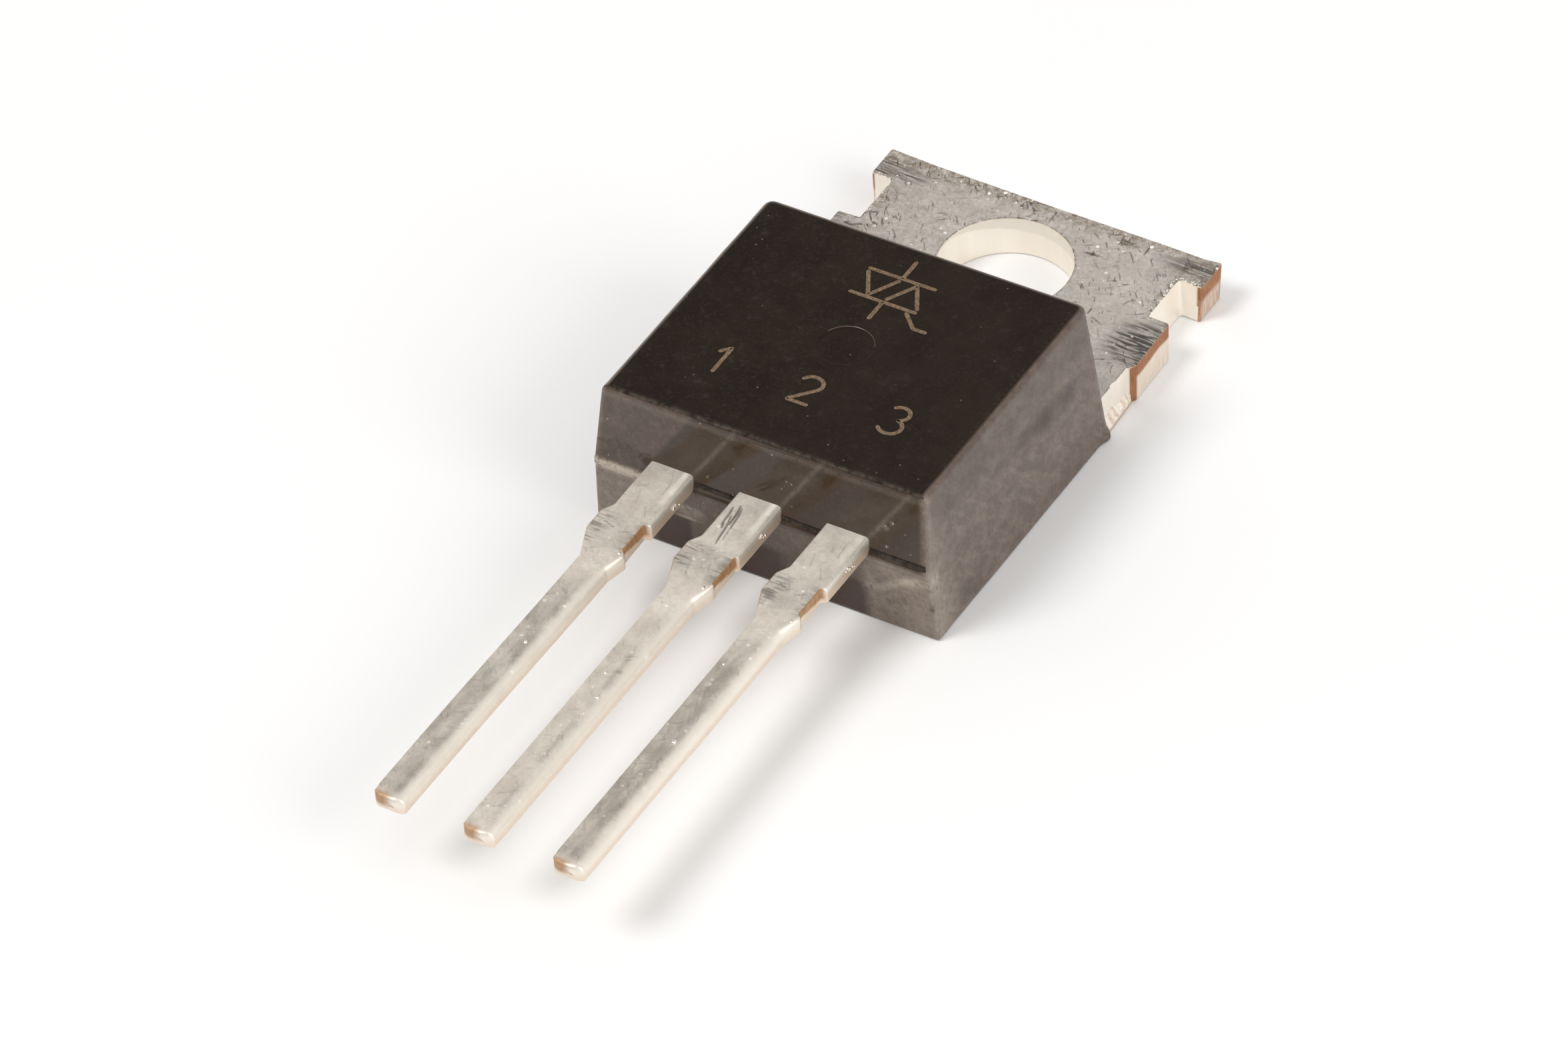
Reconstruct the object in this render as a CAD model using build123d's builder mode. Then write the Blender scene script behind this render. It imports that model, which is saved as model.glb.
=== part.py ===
"""Triac in a three-lead power package that is fixed by one screw through its metal tab.

Frame: millimetres, +Z up. The origin is on the axis of the mounting hole, at the tab's back
face, so the part lies on z = 0. +Y runs from the leads to the tab, and +X is to the right when
the marked face is read with the leads pointing down.
"""
import os

from build123d import *

os.makedirs("parts", exist_ok=True)

# ------------------------------------------------------------------ driving dimensions
lead_pitch = 2.54
overall_height = 4.46

# Stamped tab and die pad (dual-gauge copper strip)
tab_thickness = 1.20
tab_half_width = 4.91
rear_left_corner = (-4.93, 2.70)
rear_right_corner = (5.03, 2.55)
rear_edge_waves = [(-3.50, 2.60), (0.00, 2.54), (3.30, 2.52), (4.50, 2.49)]
hole_radius = 1.81
ear_front_y = 1.57
notch_half_width = 4.29
notch_corner_radius = 0.28
mid_ear_rear_y = -0.12
mid_ear_front_y = -2.04
throat_rear = (4.80, -2.13)
throat_middle = (4.78, -2.42)
throat_front = (4.58, -3.00)
pad_half_width = 4.35
pad_shoulder_y = -3.60
pad_front_y = -10.20
tab_corner_radius = 0.10
tab_die_roll = 0.06

# Thin coined lip that is left at the tab's back beside the body
lip_thickness = 0.26
lip_half_width = 4.88
lip_front_y = -3.90

# Mould locks that are hidden in the body
pad_step_width = 0.28
pad_step_height = 0.55
groove_y = -4.75
groove_width = 0.40
groove_depth = 0.18
neck_overlap = 0.50

# Stamped leads
lead_thickness = 0.50
lead_top_z = 2.77
lead_root_half_width = 0.64
lead_half_width = 0.44
lead_tip_y = -25.60
lead_tip_chamfer = 0.12
lead_die_roll = 0.12
lead_edge_break = 0.08
shank_start_y = -12.00

# Ends of the cut dam bars; the cutting punch sits a little to the right
stub_start_y = -14.35
stub_left_half_width = 0.84
stub_right_half_width = 0.70
stub_left_ramp = 0.62
stub_right_ramp = 0.10
stub_front_y = -15.38
shoulder_front_y = -16.18
shoulder_radius = 0.45

# Joggle that lifts the centre lead from the pad to the lead level
joggle_start_y = -10.42
joggle_end_y = -11.50
joggle_radius = 0.40
neck_half_width = 0.95

# Bond posts on the inner ends of the outer leads
post_front_y = -11.25
post_rear_y = -9.75
post_inner_offset = 1.24
post_outer_offset = 1.36
post_corner_radius = 0.20
lock_notch_y = -11.70
lock_notch_radius = 0.20

# Moulded body
body_rear_bottom_y = -3.34
body_rear_top_y = -3.70
body_front_top_y = -11.89
body_front_parting_y = -12.27
body_front_bottom_y = -12.14
parting_top_z = 2.36
parting_bottom_z = 2.08
parting_ledge = 0.05
parting_groove_height = 0.11
parting_groove_depth = 0.09
parting_groove_end_x = 4.72
body_bottom_half_width = 5.00
body_top_half_width = 4.69
body_corner_radius = 0.28
body_top_edge_radius = 0.16
ejector_mark_y = -7.85
ejector_mark_radius = 0.74
ejector_mark_depth = 0.03
flash_inner_x = 4.60
flash_outer_x = 5.10
flash_front_x = 4.97
flash_rear_y = -3.35
flash_step_y = -3.60
flash_front_y = -3.92
flash_height = 0.30

# Chip, its solder and its bond wires
die_y = -7.10
die_side = 4.40
die_thickness = 0.32
die_bevel = 0.16
solder_thickness = 0.06
solder_spread = 0.18
contact_thickness = 0.02
contact_margin = 0.45
gate_contact_side = 1.00
contact_gap = 0.22
main_wire_radius = 0.19
main_wire_spacing = 0.62
main_wire_die_foot = (-0.95, -6.50)
gate_wire_radius = 0.10
gate_wire_setback = 0.10
wire_loop_height = 0.62
wire_loop_rise_at = 0.34
wire_loop_top_at = 0.50
wire_loop_fall_at = 0.66
wire_loop_shoulder = 0.72
wire_foot_length = 0.55
wire_sink = 0.30
post_foot_offset = 0.10
post_foot_setback = 0.75

# Allowances used only while building: how far cutters overrun, and how close counts as equal
overrun = 1.00
close_to = 0.10

# ------------------------------------------------------------------ derived positions
lead_bottom_z = lead_top_z - lead_thickness
lead_mid_z = lead_top_z - lead_thickness / 2
neck_mid_z = tab_thickness - lead_thickness / 2
solder_top_z = tab_thickness + solder_thickness
die_top_z = solder_top_z + die_thickness
contact_top_z = die_top_z + contact_thickness
contact_half = die_side / 2 - contact_margin


# ------------------------------------------------------------------ stamped leads
def lead_shank(centre_x):
    """The part of a lead that shows: wide root, dam-bar stubs, tapered shoulders and tip.

    It starts a little way inside the body, where the edges are still square.
    """
    x = centre_x
    with BuildPart() as shank:
        with BuildSketch(Plane.XY.offset(lead_bottom_z)) as plan:
            with BuildLine():
                Polyline(
                    (x - lead_root_half_width, shank_start_y),
                    (x + lead_root_half_width, shank_start_y),
                    (x + lead_root_half_width, stub_start_y),
                    (x + stub_right_half_width, stub_start_y - stub_right_ramp),
                    (x + stub_right_half_width, stub_front_y),
                    (x + lead_half_width, shoulder_front_y),
                    (x + lead_half_width, lead_tip_y + lead_tip_chamfer),
                    (x + lead_half_width - lead_tip_chamfer, lead_tip_y),
                    (x - lead_half_width + lead_tip_chamfer, lead_tip_y),
                    (x - lead_half_width, lead_tip_y + lead_tip_chamfer),
                    (x - lead_half_width, shoulder_front_y),
                    (x - stub_left_half_width, stub_front_y),
                    (x - stub_left_half_width, stub_start_y - stub_left_ramp),
                    (x - lead_root_half_width, stub_start_y),
                    close=True,
                )
            make_face()
            shoulders = [v for v in plan.vertices() if abs(v.Y - shoulder_front_y) < close_to]
            fillet(shoulders, shoulder_radius)
        extrude(amount=lead_thickness)
        top_edges = shank.faces().sort_by(Axis.Z)[-1].edges().sort_by(Axis.Y)[:-1]
        fillet(top_edges, lead_die_roll)
        bottom_edges = shank.faces().sort_by(Axis.Z)[0].edges().sort_by(Axis.Y)[:-1]
        fillet(bottom_edges, lead_edge_break)
    return shank


def outer_lead(centre_x, side):
    """Pin 1 (side -1) or pin 3 (side +1), with its bond post set outwards inside the body."""
    left_offset, right_offset = sorted((side * post_outer_offset, -side * post_inner_offset))
    with BuildPart() as lead:
        with BuildSketch(Plane.XY.offset(lead_bottom_z)) as inner_plan:
            with BuildLine():
                Polyline(
                    (centre_x - lead_root_half_width, shank_start_y),
                    (centre_x - lead_root_half_width, post_front_y),
                    (centre_x + left_offset, post_front_y),
                    (centre_x + left_offset, post_rear_y),
                    (centre_x + right_offset, post_rear_y),
                    (centre_x + right_offset, post_front_y),
                    (centre_x + lead_root_half_width, post_front_y),
                    (centre_x + lead_root_half_width, shank_start_y),
                    close=True,
                )
            make_face()
            fillet(inner_plan.vertices().sort_by(Axis.Y)[2:], post_corner_radius)
            with Locations(
                (centre_x - lead_root_half_width, lock_notch_y),
                (centre_x + lead_root_half_width, lock_notch_y),
            ):
                Circle(lock_notch_radius, mode=Mode.SUBTRACT)
        extrude(amount=lead_thickness)
        add(lead_shank(centre_x).part)
    return lead


main_terminal_1_lead = outer_lead(-lead_pitch, -1)
main_terminal_1_lead.part.label = "main_terminal_1_lead"
export_step(main_terminal_1_lead.part, "parts/main_terminal_1_lead.step")

gate_lead = outer_lead(lead_pitch, 1)
gate_lead.part.label = "gate_lead"
export_step(gate_lead.part, "parts/gate_lead.step")

# The centre lead's neck is a strip that follows the joggle, trimmed to a tapering plan.
with BuildPart() as centre_lead:
    with BuildLine(Plane.YZ) as spine:
        FilletPolyline(
            (pad_front_y + neck_overlap, neck_mid_z),
            (joggle_start_y, neck_mid_z),
            (joggle_end_y, lead_mid_z),
            (shank_start_y, lead_mid_z),
            radius=joggle_radius,
        )
    with BuildSketch(Plane(origin=spine.line @ 0, x_dir=(1, 0, 0), z_dir=spine.line % 0)):
        Rectangle(2 * neck_half_width, lead_thickness)
    sweep()
    with BuildSketch():
        with BuildLine():
            Polyline(
                (-lead_root_half_width, shank_start_y),
                (-lead_root_half_width, joggle_end_y),
                (-neck_half_width, joggle_start_y),
                (-neck_half_width, pad_front_y + overrun),
                (neck_half_width, pad_front_y + overrun),
                (neck_half_width, joggle_start_y),
                (lead_root_half_width, joggle_end_y),
                (lead_root_half_width, shank_start_y),
                close=True,
            )
        make_face()
    extrude(amount=overall_height, mode=Mode.INTERSECT)
    add(lead_shank(0).part)

# ------------------------------------------------------------------ tab, die pad, centre lead
def side_outline(side, rear_corner):
    """One side of the tab and die pad, from the pad's front to the tab's rear corner."""
    points = [
        (0, pad_front_y),
        (pad_half_width, pad_front_y),
        (pad_half_width, pad_shoulder_y),
        throat_front,
        throat_middle,
        throat_rear,
        (tab_half_width, mid_ear_front_y),
        (tab_half_width, mid_ear_rear_y),
        (notch_half_width, mid_ear_rear_y),
        (notch_half_width, ear_front_y),
        (tab_half_width, ear_front_y),
    ]
    return [(side * x, y) for x, y in points] + [rear_corner]


with BuildPart() as heatsink_tab:
    with BuildSketch() as plate:
        with BuildLine():
            Polyline(*side_outline(1, rear_right_corner))
            Polyline(*side_outline(-1, rear_left_corner))
            Spline(rear_left_corner, *rear_edge_waves, rear_right_corner)
        make_face()
        ear_fronts = [v for v in plate.vertices() if abs(v.Y - ear_front_y) < close_to]
        fillet([v for v in ear_fronts if abs(v.X) < tab_half_width - close_to], notch_corner_radius)
        ear_ends = [v for v in plate.vertices() if abs(v.X) > tab_half_width - close_to / 2]
        fillet([v for v in ear_ends if v.Y > mid_ear_front_y - close_to / 2], tab_corner_radius)
    extrude(amount=tab_thickness)
    outer_edges = heatsink_tab.faces().sort_by(Axis.Z)[-1].outer_wire().edges()
    fillet([e for e in outer_edges if e.center().Y > throat_front[1]], tab_die_roll)
    Hole(hole_radius)

    # thin lip along the back, beside and under the body's rear edge
    with BuildSketch():
        with Locations((0, (mid_ear_front_y + lip_front_y) / 2)):
            Rectangle(2 * lip_half_width, mid_ear_front_y - lip_front_y)
    extrude(amount=lip_thickness)

    # step along the pad's lower side edges, which the epoxy flows under
    with BuildSketch():
        with Locations(
            (pad_half_width, (lip_front_y + pad_front_y) / 2),
            (-pad_half_width, (lip_front_y + pad_front_y) / 2),
        ):
            Rectangle(2 * pad_step_width, lip_front_y - pad_front_y)
    extrude(amount=pad_step_height, mode=Mode.SUBTRACT)

    # V-groove across the pad, which anchors the epoxy and stops the solder
    with BuildSketch(Plane.YZ.offset(-pad_half_width - overrun)):
        with BuildLine():
            Polyline(
                (groove_y - groove_width / 2, tab_thickness),
                (groove_y, tab_thickness - groove_depth),
                (groove_y + groove_width / 2, tab_thickness),
                close=True,
            )
        make_face()
    extrude(amount=2 * (pad_half_width + overrun), mode=Mode.SUBTRACT)
    add(centre_lead.part)

heatsink_tab.part.label = "heatsink_tab"
export_step(heatsink_tab.part, "parts/heatsink_tab.step")

# ------------------------------------------------------------------ chip and its solder
with BuildPart() as die_attach_solder:
    with BuildSketch(Plane.XY.offset(tab_thickness)):
        with Locations((0, die_y)):
            Rectangle(die_side + 2 * solder_spread, die_side + 2 * solder_spread)
    with BuildSketch(Plane.XY.offset(solder_top_z)):
        with Locations((0, die_y)):
            Rectangle(die_side, die_side)
    loft(ruled=True)

die_attach_solder.part.label = "die_attach_solder"
export_step(die_attach_solder.part, "parts/die_attach_solder.step")

with BuildPart() as triac_die:
    with Locations((0, die_y, solder_top_z)):
        Box(die_side, die_side, die_thickness, align=(Align.CENTER, Align.CENTER, Align.MIN))
    chamfer(triac_die.faces().sort_by(Axis.Z)[-1].edges(), die_bevel)

    # two raised contacts: an L for main terminal 1, and the gate in its open corner
    gate_corner_x = contact_half - gate_contact_side - contact_gap
    gate_corner_y = die_y - contact_half + gate_contact_side + contact_gap
    with BuildSketch(Plane.XY.offset(die_top_z)):
        with BuildLine():
            Polyline(
                (-contact_half, die_y - contact_half),
                (gate_corner_x, die_y - contact_half),
                (gate_corner_x, gate_corner_y),
                (contact_half, gate_corner_y),
                (contact_half, die_y + contact_half),
                (-contact_half, die_y + contact_half),
                close=True,
            )
        make_face()
        with Locations((contact_half, die_y - contact_half)):
            Rectangle(gate_contact_side, gate_contact_side, align=(Align.MAX, Align.MIN))
    extrude(amount=contact_thickness)

triac_die.part.label = "triac_die"
export_step(triac_die.part, "parts/triac_die.step")


# ------------------------------------------------------------------ bond wires
def bond_wire(die_foot, post_foot, radius):
    """Wire wedge-bonded at both ends: a flat foot, a loop, and a flat foot on the post."""
    sink = radius * (1 - wire_sink)
    start = Vector(die_foot[0], die_foot[1], contact_top_z + sink)
    end = Vector(post_foot[0], post_foot[1], lead_top_z + sink)
    run = Vector(end.X - start.X, end.Y - start.Y, 0)
    rise = end.Z - start.Z
    loop_plane = Plane(origin=start, x_dir=run, z_dir=run.cross(Vector(0, 0, 1)))
    with BuildPart() as wire:
        with BuildLine(loop_plane) as path:
            Polyline(
                (0, 0),
                (wire_foot_length, 0),
                (wire_loop_rise_at * run.length, rise + wire_loop_shoulder * wire_loop_height),
                (wire_loop_top_at * run.length, rise + wire_loop_height),
                (wire_loop_fall_at * run.length, rise + wire_loop_shoulder * wire_loop_height),
                (run.length - wire_foot_length, rise),
                (run.length, rise),
            )
        with BuildSketch(Plane(origin=path.line @ 0, z_dir=path.line % 0)):
            Circle(radius)
        sweep(transition=Transition.RIGHT)
        add(triac_die.part, mode=Mode.SUBTRACT)
        add(main_terminal_1_lead.part, mode=Mode.SUBTRACT)
        add(gate_lead.part, mode=Mode.SUBTRACT)
    return wire


post_foot_y = post_rear_y - post_foot_setback
main_wires = []
for number, shift in enumerate((-0.5, 0.5), start=1):
    wire_x = shift * main_wire_spacing
    wire = bond_wire(
        (main_wire_die_foot[0] + wire_x, main_wire_die_foot[1]),
        (-lead_pitch - post_foot_offset + wire_x, post_foot_y),
        main_wire_radius,
    )
    wire.part.label = f"main_terminal_bond_wire_{number}"
    export_step(wire.part, f"parts/main_terminal_bond_wire_{number}.step")
    main_wires.append(wire)

gate_foot_x = contact_half - gate_contact_side / 2
gate_foot_y = die_y - contact_half + gate_contact_side - gate_wire_setback
gate_bond_wire = bond_wire(
    (gate_foot_x, gate_foot_y), (lead_pitch + post_foot_offset, post_foot_y), gate_wire_radius
)
gate_bond_wire.part.label = "gate_bond_wire"
export_step(gate_bond_wire.part, "parts/gate_bond_wire.step")

# ------------------------------------------------------------------ moulded body
with BuildPart() as moulded_body:
    with BuildSketch(Plane.YZ):
        with BuildLine():
            Polyline(
                (body_rear_bottom_y, 0),
                (body_rear_top_y, overall_height),
                (body_front_top_y, overall_height),
                (body_front_parting_y, parting_top_z),
                (body_front_parting_y - parting_ledge, parting_top_z - parting_ledge),
                (body_front_parting_y - parting_ledge, parting_bottom_z + parting_ledge),
                (body_front_parting_y, parting_bottom_z),
                (body_front_bottom_y, 0),
                close=True,
            )
        make_face()
    extrude(amount=body_bottom_half_width + overrun, both=True)
    with BuildSketch(Plane.XZ):
        with BuildLine():
            Polyline(
                (-body_bottom_half_width, 0),
                (body_bottom_half_width, 0),
                (body_top_half_width, overall_height),
                (-body_top_half_width, overall_height),
                close=True,
            )
        make_face()
    extrude(amount=overrun - body_front_parting_y, both=True, mode=Mode.INTERSECT)

    side_edges = [e for e in moulded_body.edges() if abs(e.center().X) > body_top_half_width]
    fillet([e for e in side_edges if e.center().Y > body_rear_top_y], body_corner_radius)
    top_edges = moulded_body.faces().sort_by(Axis.Z)[-1].edges()
    fillet(top_edges, body_top_edge_radius)

    # shallow round left by an ejector pin
    with BuildSketch(Plane.XY.offset(overall_height)):
        with Locations((0, ejector_mark_y)):
            Circle(ejector_mark_radius)
    extrude(amount=-ejector_mark_depth, mode=Mode.SUBTRACT)

    # thin groove where the mould halves meet, between the leads and to their right
    lead_gap = lead_pitch - 2 * lead_root_half_width
    outer_start_x = lead_pitch + lead_root_half_width
    outer_length = parting_groove_end_x - outer_start_x
    groove_mid_z = parting_top_z + parting_groove_height / 2
    with BuildSketch(Plane.XZ.offset(-body_front_parting_y - parting_groove_depth)):
        with Locations((-lead_pitch / 2, groove_mid_z), (lead_pitch / 2, groove_mid_z)):
            Rectangle(lead_gap, parting_groove_height)
        with Locations((outer_start_x + outer_length / 2, groove_mid_z)):
            Rectangle(outer_length, parting_groove_height)
    extrude(amount=overrun, mode=Mode.SUBTRACT)

    # small wings of flash at the rear corners, where the mould closes on the tab's sides
    for side in (-1, 1):
        with BuildSketch():
            with BuildLine():
                Polyline(
                    (side * flash_inner_x, flash_rear_y),
                    (side * flash_outer_x, flash_rear_y),
                    (side * flash_outer_x, flash_step_y),
                    (side * flash_front_x, flash_front_y),
                    close=True,
                )
            make_face()
        extrude(amount=flash_height)

    embedded = [heatsink_tab, main_terminal_1_lead, gate_lead, die_attach_solder, triac_die]
    for piece in embedded + main_wires + [gate_bond_wire]:
        add(piece.part, mode=Mode.SUBTRACT)

moulded_body.part.label = "moulded_body"
export_step(moulded_body.part, "parts/moulded_body.step")
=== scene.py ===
"""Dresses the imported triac: moulded body, tinned tab, three tinned leads and their small details.

Shapes are worked out in millimetres, in the part's own frame, and scaled to metres when a mesh
is made. The part lies on z = 0 with its mounting hole round the Z axis and its leads along -Y.
"""

import bpy
import numpy as np
from bpy.props import FloatProperty, FloatVectorProperty, IntProperty, PointerProperty
from mathutils import Matrix, Vector
from mathutils.geometry import delaunay_2d_cdt


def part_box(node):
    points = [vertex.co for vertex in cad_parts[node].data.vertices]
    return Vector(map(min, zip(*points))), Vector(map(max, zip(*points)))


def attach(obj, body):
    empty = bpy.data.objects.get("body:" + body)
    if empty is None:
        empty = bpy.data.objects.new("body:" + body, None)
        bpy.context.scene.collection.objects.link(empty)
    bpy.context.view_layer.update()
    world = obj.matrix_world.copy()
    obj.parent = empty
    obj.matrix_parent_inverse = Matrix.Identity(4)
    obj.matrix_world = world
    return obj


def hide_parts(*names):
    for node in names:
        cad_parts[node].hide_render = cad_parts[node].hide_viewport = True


bl_info = {
    "name": "Triac with tab",
    "version": (1, 0, 0),
    "blender": (4, 5, 0),
    "location": "3D View > Sidebar > Triac",
    "description": "Makes the visible surfaces of a three-lead triac around its packed solids",
    "category": "Add Mesh",
}

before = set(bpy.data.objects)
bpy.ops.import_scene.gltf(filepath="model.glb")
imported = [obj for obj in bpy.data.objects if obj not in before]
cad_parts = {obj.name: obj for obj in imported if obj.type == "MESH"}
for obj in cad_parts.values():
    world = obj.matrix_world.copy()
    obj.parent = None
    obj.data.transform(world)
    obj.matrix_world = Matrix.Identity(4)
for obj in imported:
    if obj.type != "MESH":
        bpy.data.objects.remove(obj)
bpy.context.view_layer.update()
MM = 0.001


def node_box(name):
    """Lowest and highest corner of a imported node, in millimetres."""
    low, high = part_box(name)
    return np.array(low) / MM, np.array(high) / MM


BODY_LOW, BODY_HIGH = node_box("moulded_body")
LEAD_TOP = node_box("gate_lead")[1][2]


# ------------------------------------------------------------------ settings
class BodySettings(bpy.types.PropertyGroup):
    """Sizes and colours of the moulded body."""

    height: FloatProperty(
        name="Height", description="Top face above the seat", unit="LENGTH",
        default=BODY_HIGH[2] * MM,
    )
    top_colour: FloatVectorProperty(
        name="Top colour", description="Colour of the marked face", subtype="COLOR",
        default=(0.0140, 0.0088, 0.0054),
    )
    side_colour: FloatVectorProperty(
        name="Side colour", description="Colour of the polished drafted face", subtype="COLOR",
        default=(0.046, 0.029, 0.018),
    )
    # The dull colour also carries painted light on the lower front wall and a painted reflection left
    # of the first lead.
    dull_colour: FloatVectorProperty(
        name="Dull colour", description="Colour of the eroded mould faces", subtype="COLOR",
        default=(0.170, 0.130, 0.104),
    )
    # This colour also carries painted light, painted reflections and painted highlights on the front
    # wall and its resin nibs.
    worn_and_lit_colour: FloatVectorProperty(
        name="Worn colour", description="Colour of rubbed edges and dried flash", subtype="COLOR",
        default=(0.49, 0.425, 0.355),
    )


class TabSettings(bpy.types.PropertyGroup):
    """Sizes and colours of the tinned tab."""

    thickness: FloatProperty(
        name="Thickness", description="Thickness of the tab", unit="LENGTH", default=1.2 * MM
    )
    hole_radius: FloatProperty(
        name="Hole radius", description="Radius of the mounting hole", unit="LENGTH",
        default=1.80 * MM,
    )
    tin_colour: FloatVectorProperty(
        name="Tin colour", description="Colour of the tin plate", subtype="COLOR",
        default=(0.735, 0.690, 0.645),
    )
    copper_colour: FloatVectorProperty(
        name="Copper colour", description="Colour of bare copper on cut faces", subtype="COLOR",
        default=(0.43, 0.205, 0.108),
    )


class LeadSettings(bpy.types.PropertyGroup):
    """Sizes and colours of the three leads."""

    pitch: FloatProperty(
        name="Pitch", description="Distance between neighbouring leads", unit="LENGTH",
        default=2.54 * MM,
    )
    tin_colour: FloatVectorProperty(
        name="Tin colour", description="Colour of the tin plate", subtype="COLOR",
        default=(0.965, 0.885, 0.80),
    )
    copper_colour: FloatVectorProperty(
        name="Copper colour", description="Colour of the cut dam-bar stubs", subtype="COLOR",
        default=(0.49, 0.29, 0.15),
    )


class MarkSettings(bpy.types.PropertyGroup):
    """Sizes and colour of the engraved marks."""

    stroke: FloatProperty(
        name="Stroke", description="Width of an engraved stroke", unit="LENGTH", default=0.112 * MM
    )
    colour: FloatVectorProperty(
        name="Mark colour", description="Colour of an engraved stroke", subtype="COLOR",
        default=(0.24, 0.165, 0.105),
    )


class StageSettings(bpy.types.PropertyGroup):
    """Floor, lamps and camera."""

    focal_length: FloatProperty(
        name="Focal length", description="Lens of the camera, in millimetres", default=229.6
    )
    world_strength: FloatProperty(
        name="World strength", description="Radiance of the sky overhead", default=0.64
    )
    horizon_strength: FloatProperty(
        name="Horizon strength", description="Radiance of the sky at the horizon", default=0.95
    )
    floor_size: FloatProperty(
        name="Floor size", description="Side of the square floor", unit="LENGTH", default=3.0
    )
    front_share: FloatProperty(
        name="Front share", description="Share of the sky's radiance at front left", default=0.3
    )
    seed: IntProperty(name="Seed", description="Seed for the scattered details", default=7)


# ------------------------------------------------------------------ meshes
def new_piece(name, vertices, faces, materials, replaces=()):
    """Makes a mesh object from millimetre vertices, and lets it ride on the part's one body."""
    mesh = bpy.data.meshes.new(name)
    mesh.from_pydata((np.asarray(vertices) * MM).tolist(), [], faces)
    mesh.validate()
    mesh.polygons.foreach_set("use_smooth", np.ones(len(mesh.polygons), bool))
    piece = bpy.data.objects.new(name, mesh)
    bpy.context.scene.collection.objects.link(piece)
    for material in materials:
        mesh.materials.append(material)
    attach(piece, "root")
    if replaces:
        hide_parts(*replaces)
    return piece


def set_attribute(piece, name, values):
    """Stores one share for each vertex, held between 0 and 1."""
    layer = piece.data.attributes.new(name, "FLOAT", "POINT")
    layer.data.foreach_set("value", np.clip(values, 0, 1).astype(np.float32))


def tube_faces(levels, around, first=0):
    """Quads between neighbouring closed rings: ring k, place i is vertex first + k*around + i."""
    k, i = np.meshgrid(np.arange(levels - 1), np.arange(around), indexing="ij")
    j = (i + 1) % around
    quads = np.stack(
        [k * around + i, k * around + j, (k + 1) * around + j, (k + 1) * around + i], -1
    )
    return (quads.reshape(-1, 4) + first).tolist()


def turns(count):
    """Angles round a full turn."""
    return np.linspace(0, 2 * np.pi, count, endpoint=False)


def rise(value, low, high):
    """Smooth rise from 0 at low to 1 at high: 3t^2 - 2t^3 of the clamped ratio t."""
    t = np.clip((np.asarray(value, float) - low) / (high - low), 0, 1)
    return t * t * (3 - 2 * t)


def fall(value, low, high):
    """Smooth fall from 1 at low to 0 at high: one less the rise."""
    return 1 - rise(value, low, high)


def bump_at(value, centre, half_width):
    """Smooth bump that is 1 at centre and 0 from half_width away on both sides."""
    return fall(np.abs(np.asarray(value, float) - centre), 0, half_width)


def blot(x, y, centre, reach, ring, soft):
    """Upright elliptic blot: a bump at `ring` of the distance, which is counted in reaches."""
    return bump_at(np.hypot((x - centre[0]) / reach[0], (y - centre[1]) / reach[1]), ring, soft)


def ripple(x, y, scale, seed):
    """Soft irregular waves from -1 to 1: a mean of six sines with seeded directions and phases."""
    waves = 6
    rng = np.random.default_rng(seed)
    turns = rng.uniform(0, np.pi, waves)
    phases = rng.uniform(0, 2 * np.pi, waves)
    stretches = rng.uniform(0.6, 1.7, waves)
    total = np.zeros(np.broadcast(x, y).shape)
    for turn, phase, stretch in zip(turns, phases, stretches):
        along = (np.cos(turn) * x + np.sin(turn) * y) * stretch
        total = total + np.sin(2 * np.pi * along / scale + phase)
    return total / waves


def closed_outline(corners, step):
    """Points about `step` apart round a closed outline of (x, y, radius) corners.

    Each corner is an arc tangent to both of its runs: the arc starts and ends at
    radius * tan(half the turning angle) from the corner.
    """
    corners = np.array(corners, float)
    before = np.roll(corners, 1, 0)[:, :2]
    after = np.roll(corners, -1, 0)[:, :2]
    parts = []
    for (x, y, radius), previous, following in zip(corners, before, after):
        here = np.array([x, y])
        if radius == 0:
            parts.append(here[None])
            continue
        to_previous = (previous - here) / np.linalg.norm(previous - here)
        to_next = (following - here) / np.linalg.norm(following - here)
        half = np.arccos(np.clip(to_previous @ to_next, -1, 1)) / 2
        inward = to_previous + to_next
        centre = here + inward / np.linalg.norm(inward) * radius / np.sin(half)
        start = here + to_previous * radius / np.tan(half) - centre
        end = here + to_next * radius / np.tan(half) - centre
        swept = np.pi - 2 * half
        count = max(4, int(np.ceil(radius * swept / step)) + 1)
        t = np.linspace(0, 1, count)[:, None]
        arc = (np.sin((1 - t) * swept) * start + np.sin(t * swept) * end) / np.sin(swept)
        parts.append(centre + arc)
    points = np.concatenate(parts)
    runs = np.roll(points, -1, 0) - points
    counts = np.maximum(1, np.round(np.linalg.norm(runs, axis=1) / step)).astype(int)
    index = np.repeat(np.arange(len(points)), counts)
    place_in_run = np.arange(counts.sum()) - np.repeat(np.cumsum(counts) - counts, counts)
    return points[index] + runs[index] * (place_in_run / counts[index])[:, None]


def outward(loop):
    """Unit normals of a closed outline that runs anticlockwise: its tangents turned by -90 deg."""
    tangent = np.roll(loop, -1, 0) - np.roll(loop, 1, 0)
    tangent /= np.linalg.norm(tangent, axis=1)[:, None]
    return np.stack([tangent[:, 1], -tangent[:, 0]], -1)


def inside(points, loop):
    """True where a horizontal ray from the point crosses the closed loop an odd number of times."""
    a, b = loop, np.roll(loop, -1, 0)
    odd = np.zeros(len(points), bool)
    for (ax, ay), (bx, by) in zip(a, b):
        if ay == by:
            continue
        crosses = (points[:, 1] < ay) != (points[:, 1] < by)
        at_x = ax + (points[:, 1] - ay) * (bx - ax) / (by - ay)
        odd ^= crosses & (points[:, 0] < at_x)
    return odd


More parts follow.
